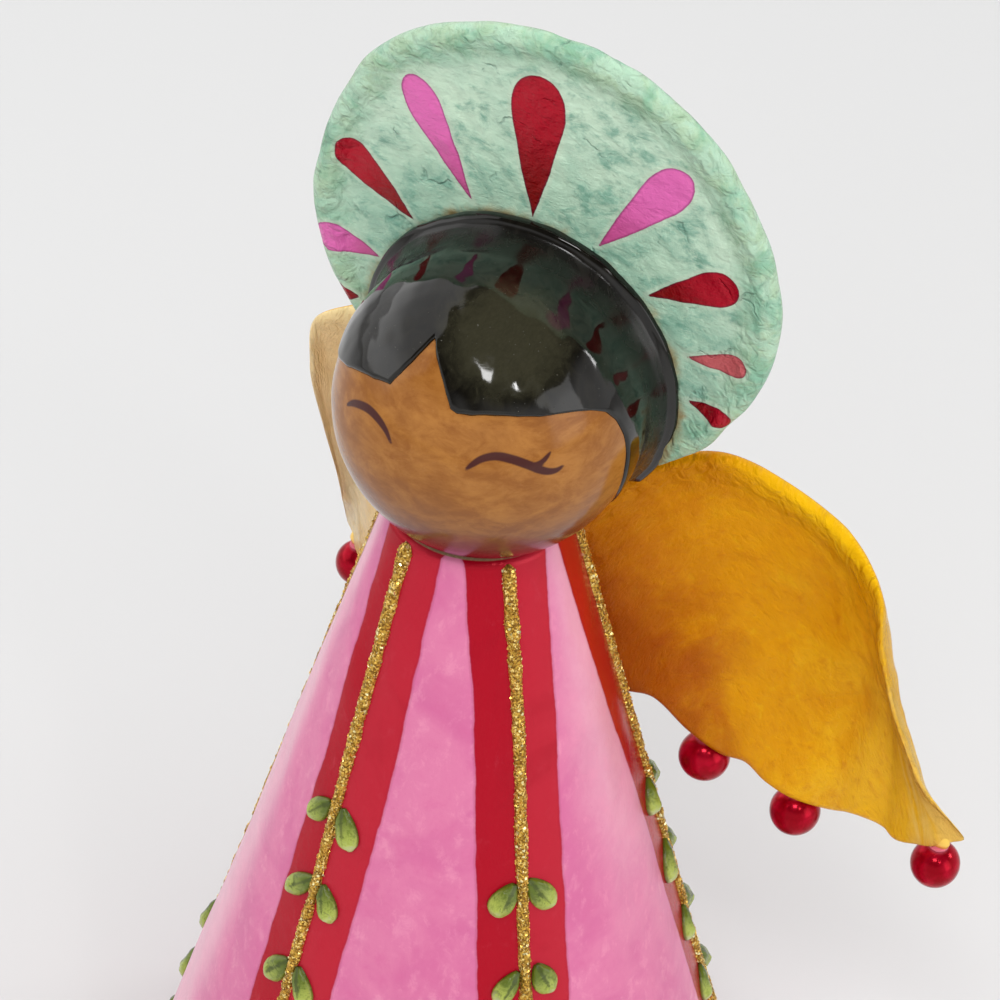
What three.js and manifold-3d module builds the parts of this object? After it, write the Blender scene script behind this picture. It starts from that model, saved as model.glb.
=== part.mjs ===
// Angel tree topper of lacquered papier-mache. A hollow conical gown slips over the top of a tree.
// A ball head with a moulded hair cap sits in the neck of the gown, and a round halo plate is fixed
// round the head. Two cupped wings are tabbed through the back of the gown, beads hang on pins behind the
// lobes of their lower edges, and raised glitter vines with leaves run down the gown.
// Millimetres, +Z up. The gown faces -Y and stands on its hem at z = 0, on the gown's axis.

import * as THREE from "three";
import { mergeVertices } from "three/addons/utils/BufferGeometryUtils.js";
import Module from "manifold-3d";

const wasm = await Module();
wasm.setup();

// Fits
const seatGap = 0.3;        // clearance between two pieces that touch
const cutOverrun = 2;       // how far a cutting shape runs past what it cuts

// Gown: a cone of layered paper, open at the hem
const gownHeight = 161.5;
const hemRadius = 58.2;
const neckRadius = 13.5;
const gownWall = 2.4;
const neckLip = 0.6;        // flat ring left outside the head's seat

// Hoop of wire that keeps the hem round
const hoopWireRadius = 1.5;

// Neck disc and dowel that hold the head on
const discDrop = 11;        // from the top of the gown to the top of the disc
const discThickness = 3;
const dowelRadius = 3;
const dowelInHead = 13;     // how far the dowel reaches into the ball
const dowelTail = 4;        // how far it reaches below the disc

// Head: a ball, turned a little to its left and set a little back from the gown's axis
const headRadius = 22.3;
const headSetback = 1.2;
const headTurn = THREE.MathUtils.degToRad(10);

// Hair: a thin moulded cap that flares into a collar where it meets the halo
const hairThickness = 0.6;
const hairFront = 1.4;      // how far in front of the head's centre the hair starts at the cheeks
const collarRadius = 24.6;
const collarLength = 11;
const collarSwellShares = [[0, 0], [0.5, 0.12], [0.8, 0.45], [1, 1]];  // of its length, and of its flare
const coreShares = { front: 0.9, back: 0.7 };  // of the ball's radius: inside it, where all is cut away

// Halo: a dished plate with a rolled rim
const haloRadius = 36.6;
const haloThickness = 2.4;
const haloRimRadius = 1.7;
const haloRimWidth = 5.5;   // from the outer edge in to where the plate is flat
const haloRimCorners = [-110, -60, -20, 20, 60, 110].map(THREE.MathUtils.degToRad);  // round the roll
const haloDish = 0.7;       // how far the middle lies behind the rim
const haloRise = 19.1;      // halo centre above the head's centre
const haloShift = 1.4;      // halo centre to the figure's left of the head's centre
const haloSetback = 11.9;   // middle of the rim behind the head's centre
const haloTurn = THREE.MathUtils.degToRad(-2.5);  // turned back a little against the head

// Wings: cupped plates, thicker along the leading edge
const wingReach = 62.4;     // middle of the gown to the wing tip
const wingSweep = 54;       // how far the tip lies behind the gown's axis
const wingDrop = 96;        // head's centre to the lowest point of the wing
const wingThickness = 2;
const wingLip = 1;          // added thickness along the leading edge
const wingLipWidth = 4;
const wingCupShare = 0.065; // depth of the hollow, as a share of the wing's width there
const wingCupStartShare = 0.4;  // of the wing's length, from where the hollow is full
const wingRootSink = 4;     // extra length at the root, trimmed off to fit the gown
const tabHeight = 14;
const tabThickness = 1.4;
const tabInside = 1.6;      // how far the tab stands inside the gown
const tabInWing = 7;
const tabAlongShare = 0.12; // the tab points along the wing's course over this share of its length

// Beads on pins behind the wings' lower edges
const beadRadius = 4.15;
const pinRadius = 0.45;
const pinDepth = 4.6;       // into the bead
const pinSetback = 2.2;     // how far behind the middle of the plate a pin hangs
const bossRadius = 1.9;     // lump of pulp round the top of each pin
const bossHeight = 3.2;
const bossShares = { foot: 0.85, shoulder: 0.7, pin: 0.6 };  // widths, and the pin's reach into the lump

// Vines: a raised line of glitter with pairs of leaves
const vineWidthTop = 2.5;
const vineWidthHem = 1.9;
const vineHeight = 1;
const vineTopGap = 1.5;
const vineHemGap = 3;
const vineWander = 0.35;    // how far the line strays to each side
const leafLength = 6.4;
const leafWidth = 4.2;
const leafHeight = 1.3;
const leafPitch = 15;       // from one pair to the next along the vine
const leafStart = 51;       // from the top of the gown to the first pair
const leafOffset = 2.6;     // leaf's middle from the vine's middle
const leafLean = THREE.MathUtils.degToRad(38);

// The vines, painted by eye: degrees round the gown at the neck and at the hem, from the front towards
// the figure's left, and how much later than leafStart the leaves begin, as a share of their pitch
const vines = [
  { neck: -78, hem: -76, lagShare: 0.3 },
  { neck: -16.3, hem: -8, lagShare: 0 },
  { neck: 52.8, hem: 53.6, lagShare: 0.4 },
  { neck: 124, hem: 127, lagShare: 0.53 },
  { neck: 181, hem: 178, lagShare: 0.1 },
  { neck: 233, hem: 231, lagShare: 0.45 },
];

// How smooth the round forms are
const gownSides = 48;
const ballSides = 30;
const ballRings = 16;
const wireSides = 8;
const leafSides = 6;
const beadSides = 12;
const wingStations = 22;
const wingColumns = 9;
const vineStations = 9;

// Leading edge of the left wing from root to tip, as shares of reach, sweep and drop
const leadingEdgeShares = [
  [0.11, 0.248, 0.26], [0.29, 0.37, 0.148], [0.42, 0.441, 0.117], [0.587, 0.537, 0.171],
  [0.73, 0.589, 0.243], [0.841, 0.544, 0.287], [0.871, 0.559, 0.403], [0.891, 0.672, 0.586],
  [0.931, 0.841, 0.803], [1, 0.992, 0.955],
];
// Lower edge from root to tip, in the same shares: three lobes with a notch between each two
const lowerEdgeShares = [
  [0.278, 0.359, 0.636], [0.329, 0.392, 0.643], [0.415, 0.447, 0.711], [0.489, 0.504, 0.761],
  [0.537, 0.548, 0.779], [0.584, 0.593, 0.827], [0.642, 0.647, 0.867], [0.713, 0.724, 0.898],
  [0.761, 0.776, 0.912], [0.828, 0.849, 0.949], [0.86, 0.883, 0.985], [0.904, 0.931, 1],
  [0.942, 0.968, 1.008], [1, 1.009, 0.987],
];
// Where along the lower edge the pins hang, and what part of the setback each has
const pinSiteShares = [{ along: 0.2, back: 1 }, { along: 0.485, back: 1 }, { along: 0.937, back: 0 }];
// Face opening of the hair seen from the front, across and up from the head's centre: left bang, parting
// and right bang, as shares of the head's radius
const faceOpeningShares = [
  [-1.4, -1.4], [-1.4, 0.1], [-0.85, 0.31], [-0.6, 0.46], [-0.34, 0.55], [-0.15, 0.83], [-0.03, 0.7],
  [0.1, 0.55], [0.36, 0.56], [0.6, 0.54], [0.75, 0.51], [0.88, 0.43], [1.4, 0.15], [1.4, -1.4],
];

// Sizes that follow from the ones above
const gownSlope = (hemRadius - neckRadius) / gownHeight;
const gownSlant = Math.hypot(gownHeight, hemRadius - neckRadius);
const wallAcross = gownWall * gownSlant / gownHeight;
const hairOuter = headRadius + seatGap + hairThickness;
const seatRadius = neckRadius - neckLip;
const headHeight = gownHeight + Math.sqrt((headRadius + seatGap) ** 2 - seatRadius ** 2);
const headMatrix = new THREE.Matrix4()
  .makeTranslation(0, headSetback, headHeight)
  .multiply(new THREE.Matrix4().makeRotationZ(headTurn));
const discTop = gownHeight - discDrop;
const plateFront = haloDish - haloThickness / 2;  // front of the halo's flat part behind its rim's middle

const paints = {
  pink: { color: 0xd9579b, roughness: 0.25, metalness: 0 },
  skin: { color: 0x9a5a2c, roughness: 0.25, metalness: 0 },
  black: { color: 0x0c0b0a, roughness: 0.15, metalness: 0 },
  mint: { color: 0x8fcbb4, roughness: 0.35, metalness: 0 },
  amber: { color: 0xd88c10, roughness: 0.3, metalness: 0 },
  pearlRed: { color: 0xb01030, roughness: 0.15, metalness: 0.2 },
  gold: { color: 0xa8842f, roughness: 0.4, metalness: 0.8 },
  wire: { color: 0x8d8d8d, roughness: 0.4, metalness: 1 },
  card: { color: 0xb79b70, roughness: 0.9, metalness: 0 },
  wood: { color: 0xc39a63, roughness: 0.8, metalness: 0 },
};

// A closed solid from a geometry: seams are merged and flat triangles at poles are dropped.
function solid(geometry) {
  const bare = geometry.clone();
  bare.deleteAttribute("normal");
  bare.deleteAttribute("uv");
  const merged = mergeVertices(bare);
  const index = merged.index.array;
  const corners = [];
  for (let i = 0; i < index.length; i += 3) {
    const [a, b, c] = [index[i], index[i + 1], index[i + 2]];
    if (a !== b && b !== c && c !== a) corners.push(a, b, c);
  }
  return new wasm.Manifold(new wasm.Mesh({
    numProp: 3,
    vertProperties: new Float32Array(merged.attributes.position.array),
    triVerts: new Uint32Array(corners),
  }));
}

// The geometry of a solid, its highest faces first. A test of what lies inside aims at the first face, and
// from within a thin plate it is surest when that face is on the rim.
function geometryOf(body) {
  const mesh = body.getMesh();
  const corner = (vertex) => new THREE.Vector3().fromArray(mesh.vertProperties, 3 * vertex);
  const faces = [];
  for (let i = 0; i < mesh.triVerts.length; i += 3) {
    const vertices = [...mesh.triVerts.slice(i, i + 3)];
    faces.push({ vertices, height: Math.min(...vertices.map((vertex) => corner(vertex).z)) });
  }
  faces.sort((one, other) => other.height - one.height);
  const geometry = new THREE.BufferGeometry();
  geometry.setAttribute("position", new THREE.BufferAttribute(mesh.vertProperties, 3));
  geometry.setIndex(faces.flatMap((face) => face.vertices));
  geometry.computeVertexNormals();
  return geometry;
}

// A closed profile of [radius, height] pairs turned about the vertical axis.
function turned(profile, sides) {
  const points = profile.map(([radius, height]) => new THREE.Vector2(radius, height));
  return new THREE.LatheGeometry(points, sides).rotateX(Math.PI / 2);
}

// The same, turned about the axis that runs from the front of the head to its back.
function turnedFrontToBack(profile, sides) {
  return new THREE.LatheGeometry(profile.map(([radius, back]) => new THREE.Vector2(radius, back)), sides);
}

function cylinder(radius, bottom, top, sides) {
  return turned([[0, bottom], [radius, bottom], [radius, top], [0, top]], sides);
}

function ball(radius) {
  return new THREE.SphereGeometry(radius, ballSides, ballRings);
}

// The right-hand copy of a left-hand piece, with its faces turned back outwards.
function mirrored(geometry) {
  const copy = geometry.clone().applyMatrix4(new THREE.Matrix4().makeScale(-1, 1, 1));
  const index = copy.index.array;
  for (let i = 0; i < index.length; i += 3) [index[i], index[i + 1]] = [index[i + 1], index[i]];
  return copy;
}

// A closed skin over rings of points. Each ring runs down one side and back up the other, and the ends
// are closed across from side to side.
function lofted(rings) {
  const count = rings[0].length;
  const positions = rings.flat().flatMap((point) => point.toArray());
  const index = [];
  for (let row = 0; row + 1 < rings.length; row++) {
    for (let k = 0; k < count; k++) {
      const [a, b] = [row * count + k, row * count + (k + 1) % count];
      index.push(a, b, b + count, a, b + count, a + count);
    }
  }
  const last = (rings.length - 1) * count;
  for (let k = 0; k < count / 2; k++) {
    const [a, b] = [k, k + 1];
    const [c, d] = [(count - k) % count, count - k - 1];
    index.push(a, d, b, last + a, last + b, last + d);
    if (a !== c) index.push(a, c, d, last + a, last + d, last + c);
  }
  const geometry = new THREE.BufferGeometry();
  geometry.setAttribute("position", new THREE.Float32BufferAttribute(positions, 3));
  geometry.setIndex(index);
  return geometry;
}

function gownRadiusAt(height) {
  return hemRadius - gownSlope * height;
}

// The gown's outside as a full cone, grown by a clearance, for cutting what seats on it.
function gownCutter(clearance) {
  const bottom = -cutOverrun;
  const top = gownHeight + clearance;
  return turned([
    [0, bottom], [gownRadiusAt(bottom) + clearance, bottom], [gownRadiusAt(top) + clearance, top], [0, top],
  ], gownSides);
}

function tabBox(clearance) {
  const root = wingPoint(0, 0.5);
  const along = wingPoint(tabAlongShare, 0.5).sub(root).setZ(0).normalize();
  const height = root.z;
  const reach = new THREE.Vector2(root.x, root.y);
  const outward = reach.clone().normalize();
  const slantwise = outward.x * along.x + outward.y * along.y;
  const inside = (reach.length() - gownRadiusAt(height) + wallAcross + tabInside) / slantwise;
  const length = inside + tabInWing;
  const middle = root.clone().addScaledVector(along, length / 2 - inside);
  return new THREE.BoxGeometry(length + clearance, tabThickness + 2 * clearance, tabHeight + 2 * clearance)
    .rotateZ(Math.atan2(along.y, along.x))
    .translate(middle.x, middle.y, middle.z);
}

function gownShell() {
  const shell = solid(turned([
    [hemRadius - wallAcross, 0], [hemRadius, 0], [neckRadius, gownHeight],
    [neckRadius - wallAcross, gownHeight],
    [hemRadius - wallAcross, 0],
  ], gownSides));
  const headSeat = solid(ball(headRadius + seatGap).translate(0, headSetback, headHeight));
  const slot = tabBox(seatGap);
  return geometryOf(shell.subtract(headSeat).subtract(solid(slot)).subtract(solid(mirrored(slot))));
}

function hemHoop() {
  const height = hoopWireRadius + seatGap;
  const radius = gownRadiusAt(height) - wallAcross - seatGap * gownSlant / gownHeight
    - hoopWireRadius * gownSlant / gownHeight;
  return new THREE.TorusGeometry(radius, hoopWireRadius, wireSides, ballSides).translate(0, 0, height);
}

function neckDisc() {
  const inset = wallAcross + seatGap;
  const bottom = discTop - discThickness;
  const hole = dowelRadius + seatGap;
  return turned([
    [hole, bottom], [gownRadiusAt(bottom) - inset, bottom], [gownRadiusAt(discTop) - inset, discTop],
    [hole, discTop], [hole, bottom],
  ], ballSides);
}

function headDowel() {
  const bottom = discTop - discThickness - dowelTail;
  const top = headHeight - headRadius + dowelInHead;
  return cylinder(dowelRadius, bottom, top, 2 * wireSides);
}

function headBall() {
  const bore = cylinder(dowelRadius + seatGap, -headRadius - cutOverrun, dowelInHead - headRadius + seatGap,
    2 * wireSides).translate(0, -headSetback, 0).rotateZ(-headTurn);
  return geometryOf(solid(ball(headRadius)).subtract(solid(bore)));
}

// Moves a piece that is made about the halo's centre to its place behind the head's centre.
function onHalo(geometry) {
  return geometry.rotateZ(haloTurn).translate(haloShift, haloSetback, haloRise);
}

// The whole plate before the head is let through it, grown by a clearance: flat in the middle, with a
// rolled rim.
function haloBlank(clearance) {
  const rimCentre = haloRadius - haloRimRadius;
  const rimRadius = haloRimRadius + clearance;
  const rim = haloRimCorners.map((angle) =>
    [rimCentre + rimRadius * Math.cos(angle), rimRadius * Math.sin(angle)]);
  const front = plateFront - clearance;
  const back = plateFront + haloThickness + clearance;
  return onHalo(turnedFrontToBack([
    [0, front], [haloRadius - haloRimWidth, front], ...rim, [haloRadius - haloRimWidth, back], [0, back],
  ], gownSides));
}

function haloPlate() {
  return geometryOf(solid(haloBlank(0)).subtract(solid(ball(hairOuter + seatGap))));
}

// A ring round the hair that widens until it meets the halo, grown by a clearance.
function hairCollar(clearance) {
  const collarEnd = haloSetback * Math.cos(haloTurn) - haloShift * Math.sin(haloTurn) + plateFront;
  const collarStart = collarEnd - collarLength;
  const swell = collarRadius - hairOuter;
  const flare = collarSwellShares.map(([along, share]) =>
    [hairOuter + swell * share + clearance, collarStart + collarLength * along]);
  const front = [headRadius * coreShares.front, collarStart];
  return turnedFrontToBack([front, ...flare, [headRadius * coreShares.back, collarEnd], front], ballSides)
    .rotateZ(haloTurn);
}

// A thin cap over the ball, opened at the front along the bangs and the parting, and trimmed below to
// clear the gown and its vines.
function hairCap() {
  const opening = new THREE.Shape(faceOpeningShares.map(([across, up]) =>
    new THREE.Vector2(across * headRadius, up * headRadius)));
  const depth = collarRadius + cutOverrun;
  const face = new THREE.ExtrudeGeometry(opening, { depth, bevelEnabled: false })
    .rotateX(Math.PI / 2)
    .translate(0, -hairFront, 0);
  const gown = gownCutter(vineHeight + 2 * seatGap).applyMatrix4(headMatrix.clone().invert());
  return geometryOf(solid(hairCollar(0))
    .subtract(solid(haloBlank(seatGap)))
    .add(solid(ball(hairOuter)))
    .subtract(solid(ball(headRadius + seatGap)))
    .subtract(solid(face))
    .subtract(solid(gown)));
}

function wingPlace(shares) {
  const [across, back, down] = shares;
  return new THREE.Vector3(across * wingReach, back * wingSweep, headHeight - down * wingDrop);
}

const leadingEdge = new THREE.CatmullRomCurve3(leadingEdgeShares.map(wingPlace));
const lowerEdge = new THREE.CatmullRomCurve3(lowerEdgeShares.map(wingPlace));

// A point on the middle of the left wing's plate: along runs from root to tip, down from the leading
// edge to the lobes. The plate is cupped backwards between the two.
function wingPoint(along, down) {
  const [above, below] = [leadingEdge.getPoint(along), lowerEdge.getPoint(along)];
  const hollow = wingCupShare * above.distanceTo(below) * Math.min(1, along / wingCupStartShare);
  const point = above.lerp(below, down);
  point.y += hollow * Math.sin(Math.PI * down);
  return point;
}

function wingPlate() {
  const step = 1 / wingStations;
  const rings = [];
  for (let station = 0; station <= wingStations; station++) {
    const along = station * step;
    const span = leadingEdge.getPoint(along).distanceTo(lowerEdge.getPoint(along));
    const outward = wingPoint(step, 0.5).sub(wingPoint(0, 0.5)).setZ(0).normalize();
    const ring = [];
    for (let k = 0; k < 2 * wingColumns; k++) {
      const side = k <= wingColumns ? -1 : 1;
      const column = k <= wingColumns ? k : 2 * wingColumns - k;
      const down = (1 - Math.cos(Math.PI * column / wingColumns)) / 2;
      const middle = wingPoint(along, down);
      const low = Math.min(Math.max(down, step), 1 - step);
      const across = wingPoint(along, low + step).sub(wingPoint(along, low - step));
      const near = Math.min(Math.max(along, step), 1 - step);
      const lengthwise = wingPoint(near + step, low).sub(wingPoint(near - step, low));
      const normal = lengthwise.cross(across).normalize();
      const toLip = down * span;
      const toEdge = Math.min(toLip, (1 - down) * span);
      const thickness = wingThickness + wingLip * Math.exp(-((toLip / wingLipWidth) ** 2));
      const round = Math.min(1, toEdge / (thickness / 2));
      const half = thickness / 2 * Math.sqrt(1 - (1 - round) ** 2);
      middle.addScaledVector(normal, side * half);
      if (station === 0) middle.addScaledVector(outward, -wingRootSink);
      ring.push(middle);
    }
    rings.push(ring);
  }
  return lofted(rings);
}

// Under each lobe, behind the plate by the pin's share of the setback
const pinSites = pinSiteShares.map(({ along, back }) => {
  const course = lowerEdge.getTangent(along).setZ(0).normalize();
  const behind = new THREE.Vector3(-course.y, course.x, 0);
  return lowerEdge.getPoint(along).addScaledVector(behind, back * pinSetback);
});

// The left wing, or the right one: its plate with a lump of pulp round each pin, trimmed to the gown and to
// what stands behind the head, and with the tab that passes through the gown's wall.
function wing(side) {
  const boss = turned([
    [0, 0], [bossRadius * bossShares.foot, 0], [bossRadius, bossHeight * (1 - bossShares.shoulder)],
    [bossRadius * bossShares.shoulder, bossHeight * bossShares.shoulder], [0, bossHeight],
  ], wireSides);
  const bore = cylinder(pinRadius + seatGap, -cutOverrun, bossHeight * bossShares.pin, wireSides);
  const sided = (geometry) => solid(side === "left" ? geometry : mirrored(geometry));
  let body = sided(wingPlate());
  for (const site of pinSites) body = body.add(sided(boss.clone().translate(...site.toArray())));
  for (const site of pinSites) body = body.subtract(sided(bore.clone().translate(...site.toArray())));
  for (const behindHead of [hairCollar(seatGap), haloBlank(seatGap)]) {
    body = body.subtract(solid(behindHead.applyMatrix4(headMatrix)));
  }
  return geometryOf(body.subtract(solid(gownCutter(seatGap))).add(sided(tabBox(0))));
}

function bead() {
  const boreEnd = beadRadius - pinDepth - seatGap;
  const bore = cylinder(pinRadius + seatGap, boreEnd, beadRadius + cutOverrun, wireSides);
  const glass = new THREE.SphereGeometry(beadRadius, beadSides, beadSides / 2 + 1).rotateX(Math.PI / 2);
  return geometryOf(solid(glass).subtract(solid(bore)));
}

// A pin from the blind hole in the wing down into the bead, about the bead's centre.
function beadPin() {
  return cylinder(pinRadius, beadRadius - pinDepth, beadRadius + bossHeight * bossShares.pin, wireSides);
}

// A place on the gown at a distance down its slant, and the directions round it, down it and out of it.
function onGown(slantDown, angle) {
  const height = gownHeight * (1 - slantDown / gownSlant);
  const radial = new THREE.Vector3(Math.sin(angle), -Math.cos(angle), 0);
  const round = new THREE.Vector3(Math.cos(angle), Math.sin(angle), 0);
  const down = radial.clone().multiplyScalar(gownSlope).setZ(-1).normalize();
  return {
    place: radial.clone().multiplyScalar(gownRadiusAt(height)).setZ(height),
    round,
    down,
    out: new THREE.Vector3().crossVectors(down, round).normalize(),
    radius: gownRadiusAt(height),
  };
}

// How far round the gown a vine is at a distance down the slant. It strays a little, as if drawn by hand.
function vineAngle(course, slantDown) {
  const share = slantDown / gownSlant;
  const radius = gownRadiusAt(gownHeight * (1 - share));
  const stray = vineWander * Math.sin(2 * Math.PI * share + course.neck);
  return THREE.MathUtils.degToRad(THREE.MathUtils.lerp(course.neck, course.hem, share)) + stray / radius;
}

function vineLine(course) {
  const length = gownSlant - vineTopGap - vineHemGap;
  const rings = [];
  for (let station = 0; station <= vineStations; station++) {
    const share = station / vineStations;
    const slantDown = vineTopGap + length * share;
    const at = onGown(slantDown, vineAngle(course, slantDown));
    const width = THREE.MathUtils.lerp(vineWidthTop, vineWidthHem, share);
    const ring = [];
    for (let k = 0; k < leafSides; k++) {
      const turn = 2 * Math.PI * k / leafSides;
      ring.push(at.place.clone()
        .addScaledVector(at.round, width / 2 * Math.cos(turn))
        .addScaledVector(at.out, (vineHeight + seatGap) * Math.sin(turn)));
    }
    rings.push(ring);
  }
  return lofted(rings);
}

function vineLeaf(slantDown, angle, side) {
  const centreline = onGown(slantDown, angle);
  const at = onGown(slantDown, angle + side * leafOffset / centreline.radius);
  const lengthwise = at.down.clone().multiplyScalar(Math.cos(leafLean))
    .addScaledVector(at.round, side * Math.sin(leafLean));
  const across = new THREE.Vector3().crossVectors(at.out, lengthwise);
  const frame = new THREE.Matrix4().makeBasis(lengthwise, at.out, across.negate()).setPosition(at.place);
  return new THREE.SphereGeometry(1, leafSides, leafSides / 2)
    .scale(leafLength / 2, leafHeight + seatGap, leafWidth / 2)
    .applyMatrix4(frame);
}

// A line of glitter with its leaves, trimmed to follow the gown.
function vine(course) {
  let body = solid(vineLine(course));
  const first = leafStart + course.lagShare * leafPitch;
  for (let down = first; down + leafLength < gownSlant - vineHemGap; down += leafPitch) {
    for (const side of [-1, 1]) body = body.add(solid(vineLeaf(down, vineAngle(course, down), side)));
  }
  return geometryOf(body.subtract(solid(gownCutter(seatGap))));
}

function piece(name, geometry, paint) {
  const mesh = new THREE.Mesh(geometry, new THREE.MeshStandardMaterial(paints[paint]));
  mesh.name = name;
  return mesh;
}

const topper = new THREE.Group();
topper.add(piece("gown_shell", gownShell(), "pink"));
topper.add(piece("hem_hoop", hemHoop(), "wire"));
topper.add(piece("neck_disc", neckDisc(), "card"));
topper.add(piece("head_dowel", headDowel(), "wood"));

const head = new THREE.Group();
head.position.set(0, headSetback, headHeight);
head.rotation.z = headTurn;
head.add(piece("head_ball", headBall(), "skin"));
head.add(piece("hair_cap", hairCap(), "black"));
head.add(piece("halo_plate", haloPlate(), "mint"));
topper.add(head);

for (const [side, sign] of [["left", 1], ["right", -1]]) {
  topper.add(piece(`wing_${side}`, wing(side), "amber"));
  pinSites.forEach((site, number) => {
    const drop = seatGap + beadRadius;
    for (const [kind, shape, paint] of [["bead", bead(), "pearlRed"], ["bead_pin", beadPin(), "wire"]]) {
      const hung = piece(`${kind}_${side}_${number + 1}`, shape, paint);
      hung.position.set(sign * site.x, site.y, site.z - drop);
      topper.add(hung);
    }
  });
}

vines.forEach((course, number) => {
  topper.add(piece(`vine_${number + 1}`, vine(course), "gold"));
});

export default topper;
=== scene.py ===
# %% [markdown]
# # An angel for the top of a tree, in lacquered paper
# The real figure is papier-mache: a ball for the head on a hollow cone, with a plate of a halo and two
# stiff wings, all painted by hand and dipped in clear lacquer. This lesson dresses the imported solids.
# They fix every size and place, so this cell only loads them.
# %% Load the solids
import math
from functools import partial

import bpy
import numpy as np
from mathutils import Matrix, Vector


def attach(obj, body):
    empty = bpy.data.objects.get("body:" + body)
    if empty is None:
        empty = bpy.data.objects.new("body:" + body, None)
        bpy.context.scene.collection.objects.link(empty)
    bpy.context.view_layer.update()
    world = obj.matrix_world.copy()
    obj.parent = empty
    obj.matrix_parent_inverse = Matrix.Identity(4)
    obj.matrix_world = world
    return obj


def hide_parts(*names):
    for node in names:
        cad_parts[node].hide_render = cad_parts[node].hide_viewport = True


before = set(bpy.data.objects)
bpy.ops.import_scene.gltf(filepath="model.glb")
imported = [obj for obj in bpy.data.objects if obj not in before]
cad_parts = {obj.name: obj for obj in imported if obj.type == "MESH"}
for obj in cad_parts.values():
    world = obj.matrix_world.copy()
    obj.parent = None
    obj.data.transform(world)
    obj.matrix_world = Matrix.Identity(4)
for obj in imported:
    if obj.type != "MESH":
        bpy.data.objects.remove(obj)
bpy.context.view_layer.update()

MM = 0.001

# %% [markdown]
# ## Camera
# The picture was taken from above and from the figure's left, so the halo shows as a tilted oval.
# The place, the turn and the lens were fitted to that oval, the ball and the cone.
# %% Camera
def towards(azimuths, elevations):
    """Directions, by degrees round from the front towards the figure's left, and up."""
    a, b = np.radians(azimuths), np.radians(elevations)
    return np.stack([np.sin(a) * np.cos(b), -np.cos(a) * np.cos(b), np.sin(b)], -1)


def new_object(name, data):
    made = bpy.data.objects.new(name, data)
    bpy.context.scene.collection.objects.link(made)
    return made


azimuth, elevation, roll = 32.74, 41, math.radians(3.762)
eye = Vector((206.1, -314.9, 489.5)) * MM
back, level = Vector(towards(azimuth, elevation)), Vector(towards(azimuth + 90, 0))
upright = back.cross(level)
right = level * math.cos(roll) + upright * math.sin(roll)
up = upright * math.cos(roll) - level * math.sin(roll)
camera = new_object("camera", bpy.data.cameras.new("camera"))
camera.data.sensor_width, camera.data.lens, camera.data.clip_end = 36, 123, 10
camera.matrix_world = Matrix((*zip(right, up, back, eye), (0, 0, 0, 1)))
bpy.context.scene.camera = camera
print("camera at", tuple(round(c, 3) for c in eye))


# %% [markdown]
# ## Lamps
# A picture like this is lit by wide soft boxes, and lacquer shows each box as a pale patch. So a wide
# one stands on each side, the two that only fill are hidden from lacquer, and four small bright lamps
# give the glints. Brightness is that of a lamp's face, where 1 is white.
# %% Lamps
bpy.context.scene.view_settings.view_transform = "Standard"
middle, lamp_distance = Vector((0, 0, 0.13)), 1.2
lamps = [   # degrees towards the figure's left and up, size in metres, brightness, whether lacquer shows it
    ("box_above", 60, 80, (1.3, 1.1), 0.8, False), ("box_left", -90, 34, (2.1, 1.1), 0.9, True),
    ("fill_front", 30, 38, (1.1, 1.1), 1.1, False), ("lamp_front", 23, 60, (0.25, 0.2), 16, True),
    ("lamp_behind", 195, 52, (0.16, 0.16), 18, True), ("box_right", 92, 18, (0.6, 0.8), 1.3, True),
    ("lamp_back_right", 134, 27, (0.22, 0.18), 14, True), ("lamp_right", 60, 48, (0.07, 0.12), 24, True)]

for name, lamp_azimuth, lamp_elevation, size, brightness, mirrored in lamps:
    lamp = bpy.data.lights.new(name, "AREA")
    lamp.shape = "RECTANGLE"
    lamp.size, lamp.size_y = size
    lamp.energy = brightness * math.pi * size[0] * size[1]
    holder = new_object(name, lamp)
    holder.visible_glossy, holder.visible_camera = mirrored, False
    holder.location = middle + Vector(towards(lamp_azimuth, lamp_elevation)) * lamp_distance
    holder.rotation_euler = (middle - holder.location).to_track_quat("-Z", "Y").to_euler()


# %% [markdown]
# ## World
# Surfaces get an even grey from all round. The camera and the lacquer see something else: a pale
# sweep behind the figure that ends in a dim room above, so the gloss has a dark sky to mirror.
# %% World
def add_node(tree, kind, settings=None, values=None):
    """A node whose sockets are set to values, or joined where the value is another node's output."""
    node = tree.nodes.new(kind)
    for key, value in (settings or {}).items():
        setattr(node, key, value)
    for key, value in (values or {}).items():
        if isinstance(value, bpy.types.NodeSocket):
            tree.links.new(value, node.inputs[key])
        else:
            node.inputs[key].default_value = value
    return node


fill_light = 0.55
sweep_end, room_start, sweep_tone, room_tone = 0.3, 0.62, 0.784, 0.06      # heights on a unit sky, and greys
world = bpy.data.worlds.new("studio")
world.use_nodes = True
bpy.context.scene.world = world
sky = world.node_tree
fill = sky.nodes["Background"]
fill.inputs["Strength"].default_value = fill_light
fill.inputs["Color"].default_value = (1, 1, 1, 1)
direction = add_node(sky, "ShaderNodeTexCoord").outputs["Generated"]
height_of_sky = add_node(sky, "ShaderNodeSeparateXYZ", {}, {0: direction}).outputs[2]
grey = add_node(sky, "ShaderNodeMapRange", {"interpolation_type": "SMOOTHSTEP"}, {
    0: height_of_sky, 1: sweep_end, 2: room_start, 3: sweep_tone, 4: room_tone}).outputs[0]
sweep = add_node(sky, "ShaderNodeBackground", {}, {"Color": grey})
rays = add_node(sky, "ShaderNodeLightPath")
seen = 0
for kind in ("Is Camera Ray", "Is Glossy Ray", "Is Transmission Ray"):
    seen = add_node(sky, "ShaderNodeMath", {"operation": "ADD", "use_clamp": True}, {
        0: rays.outputs[kind], 1: seen}).outputs[0]
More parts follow.
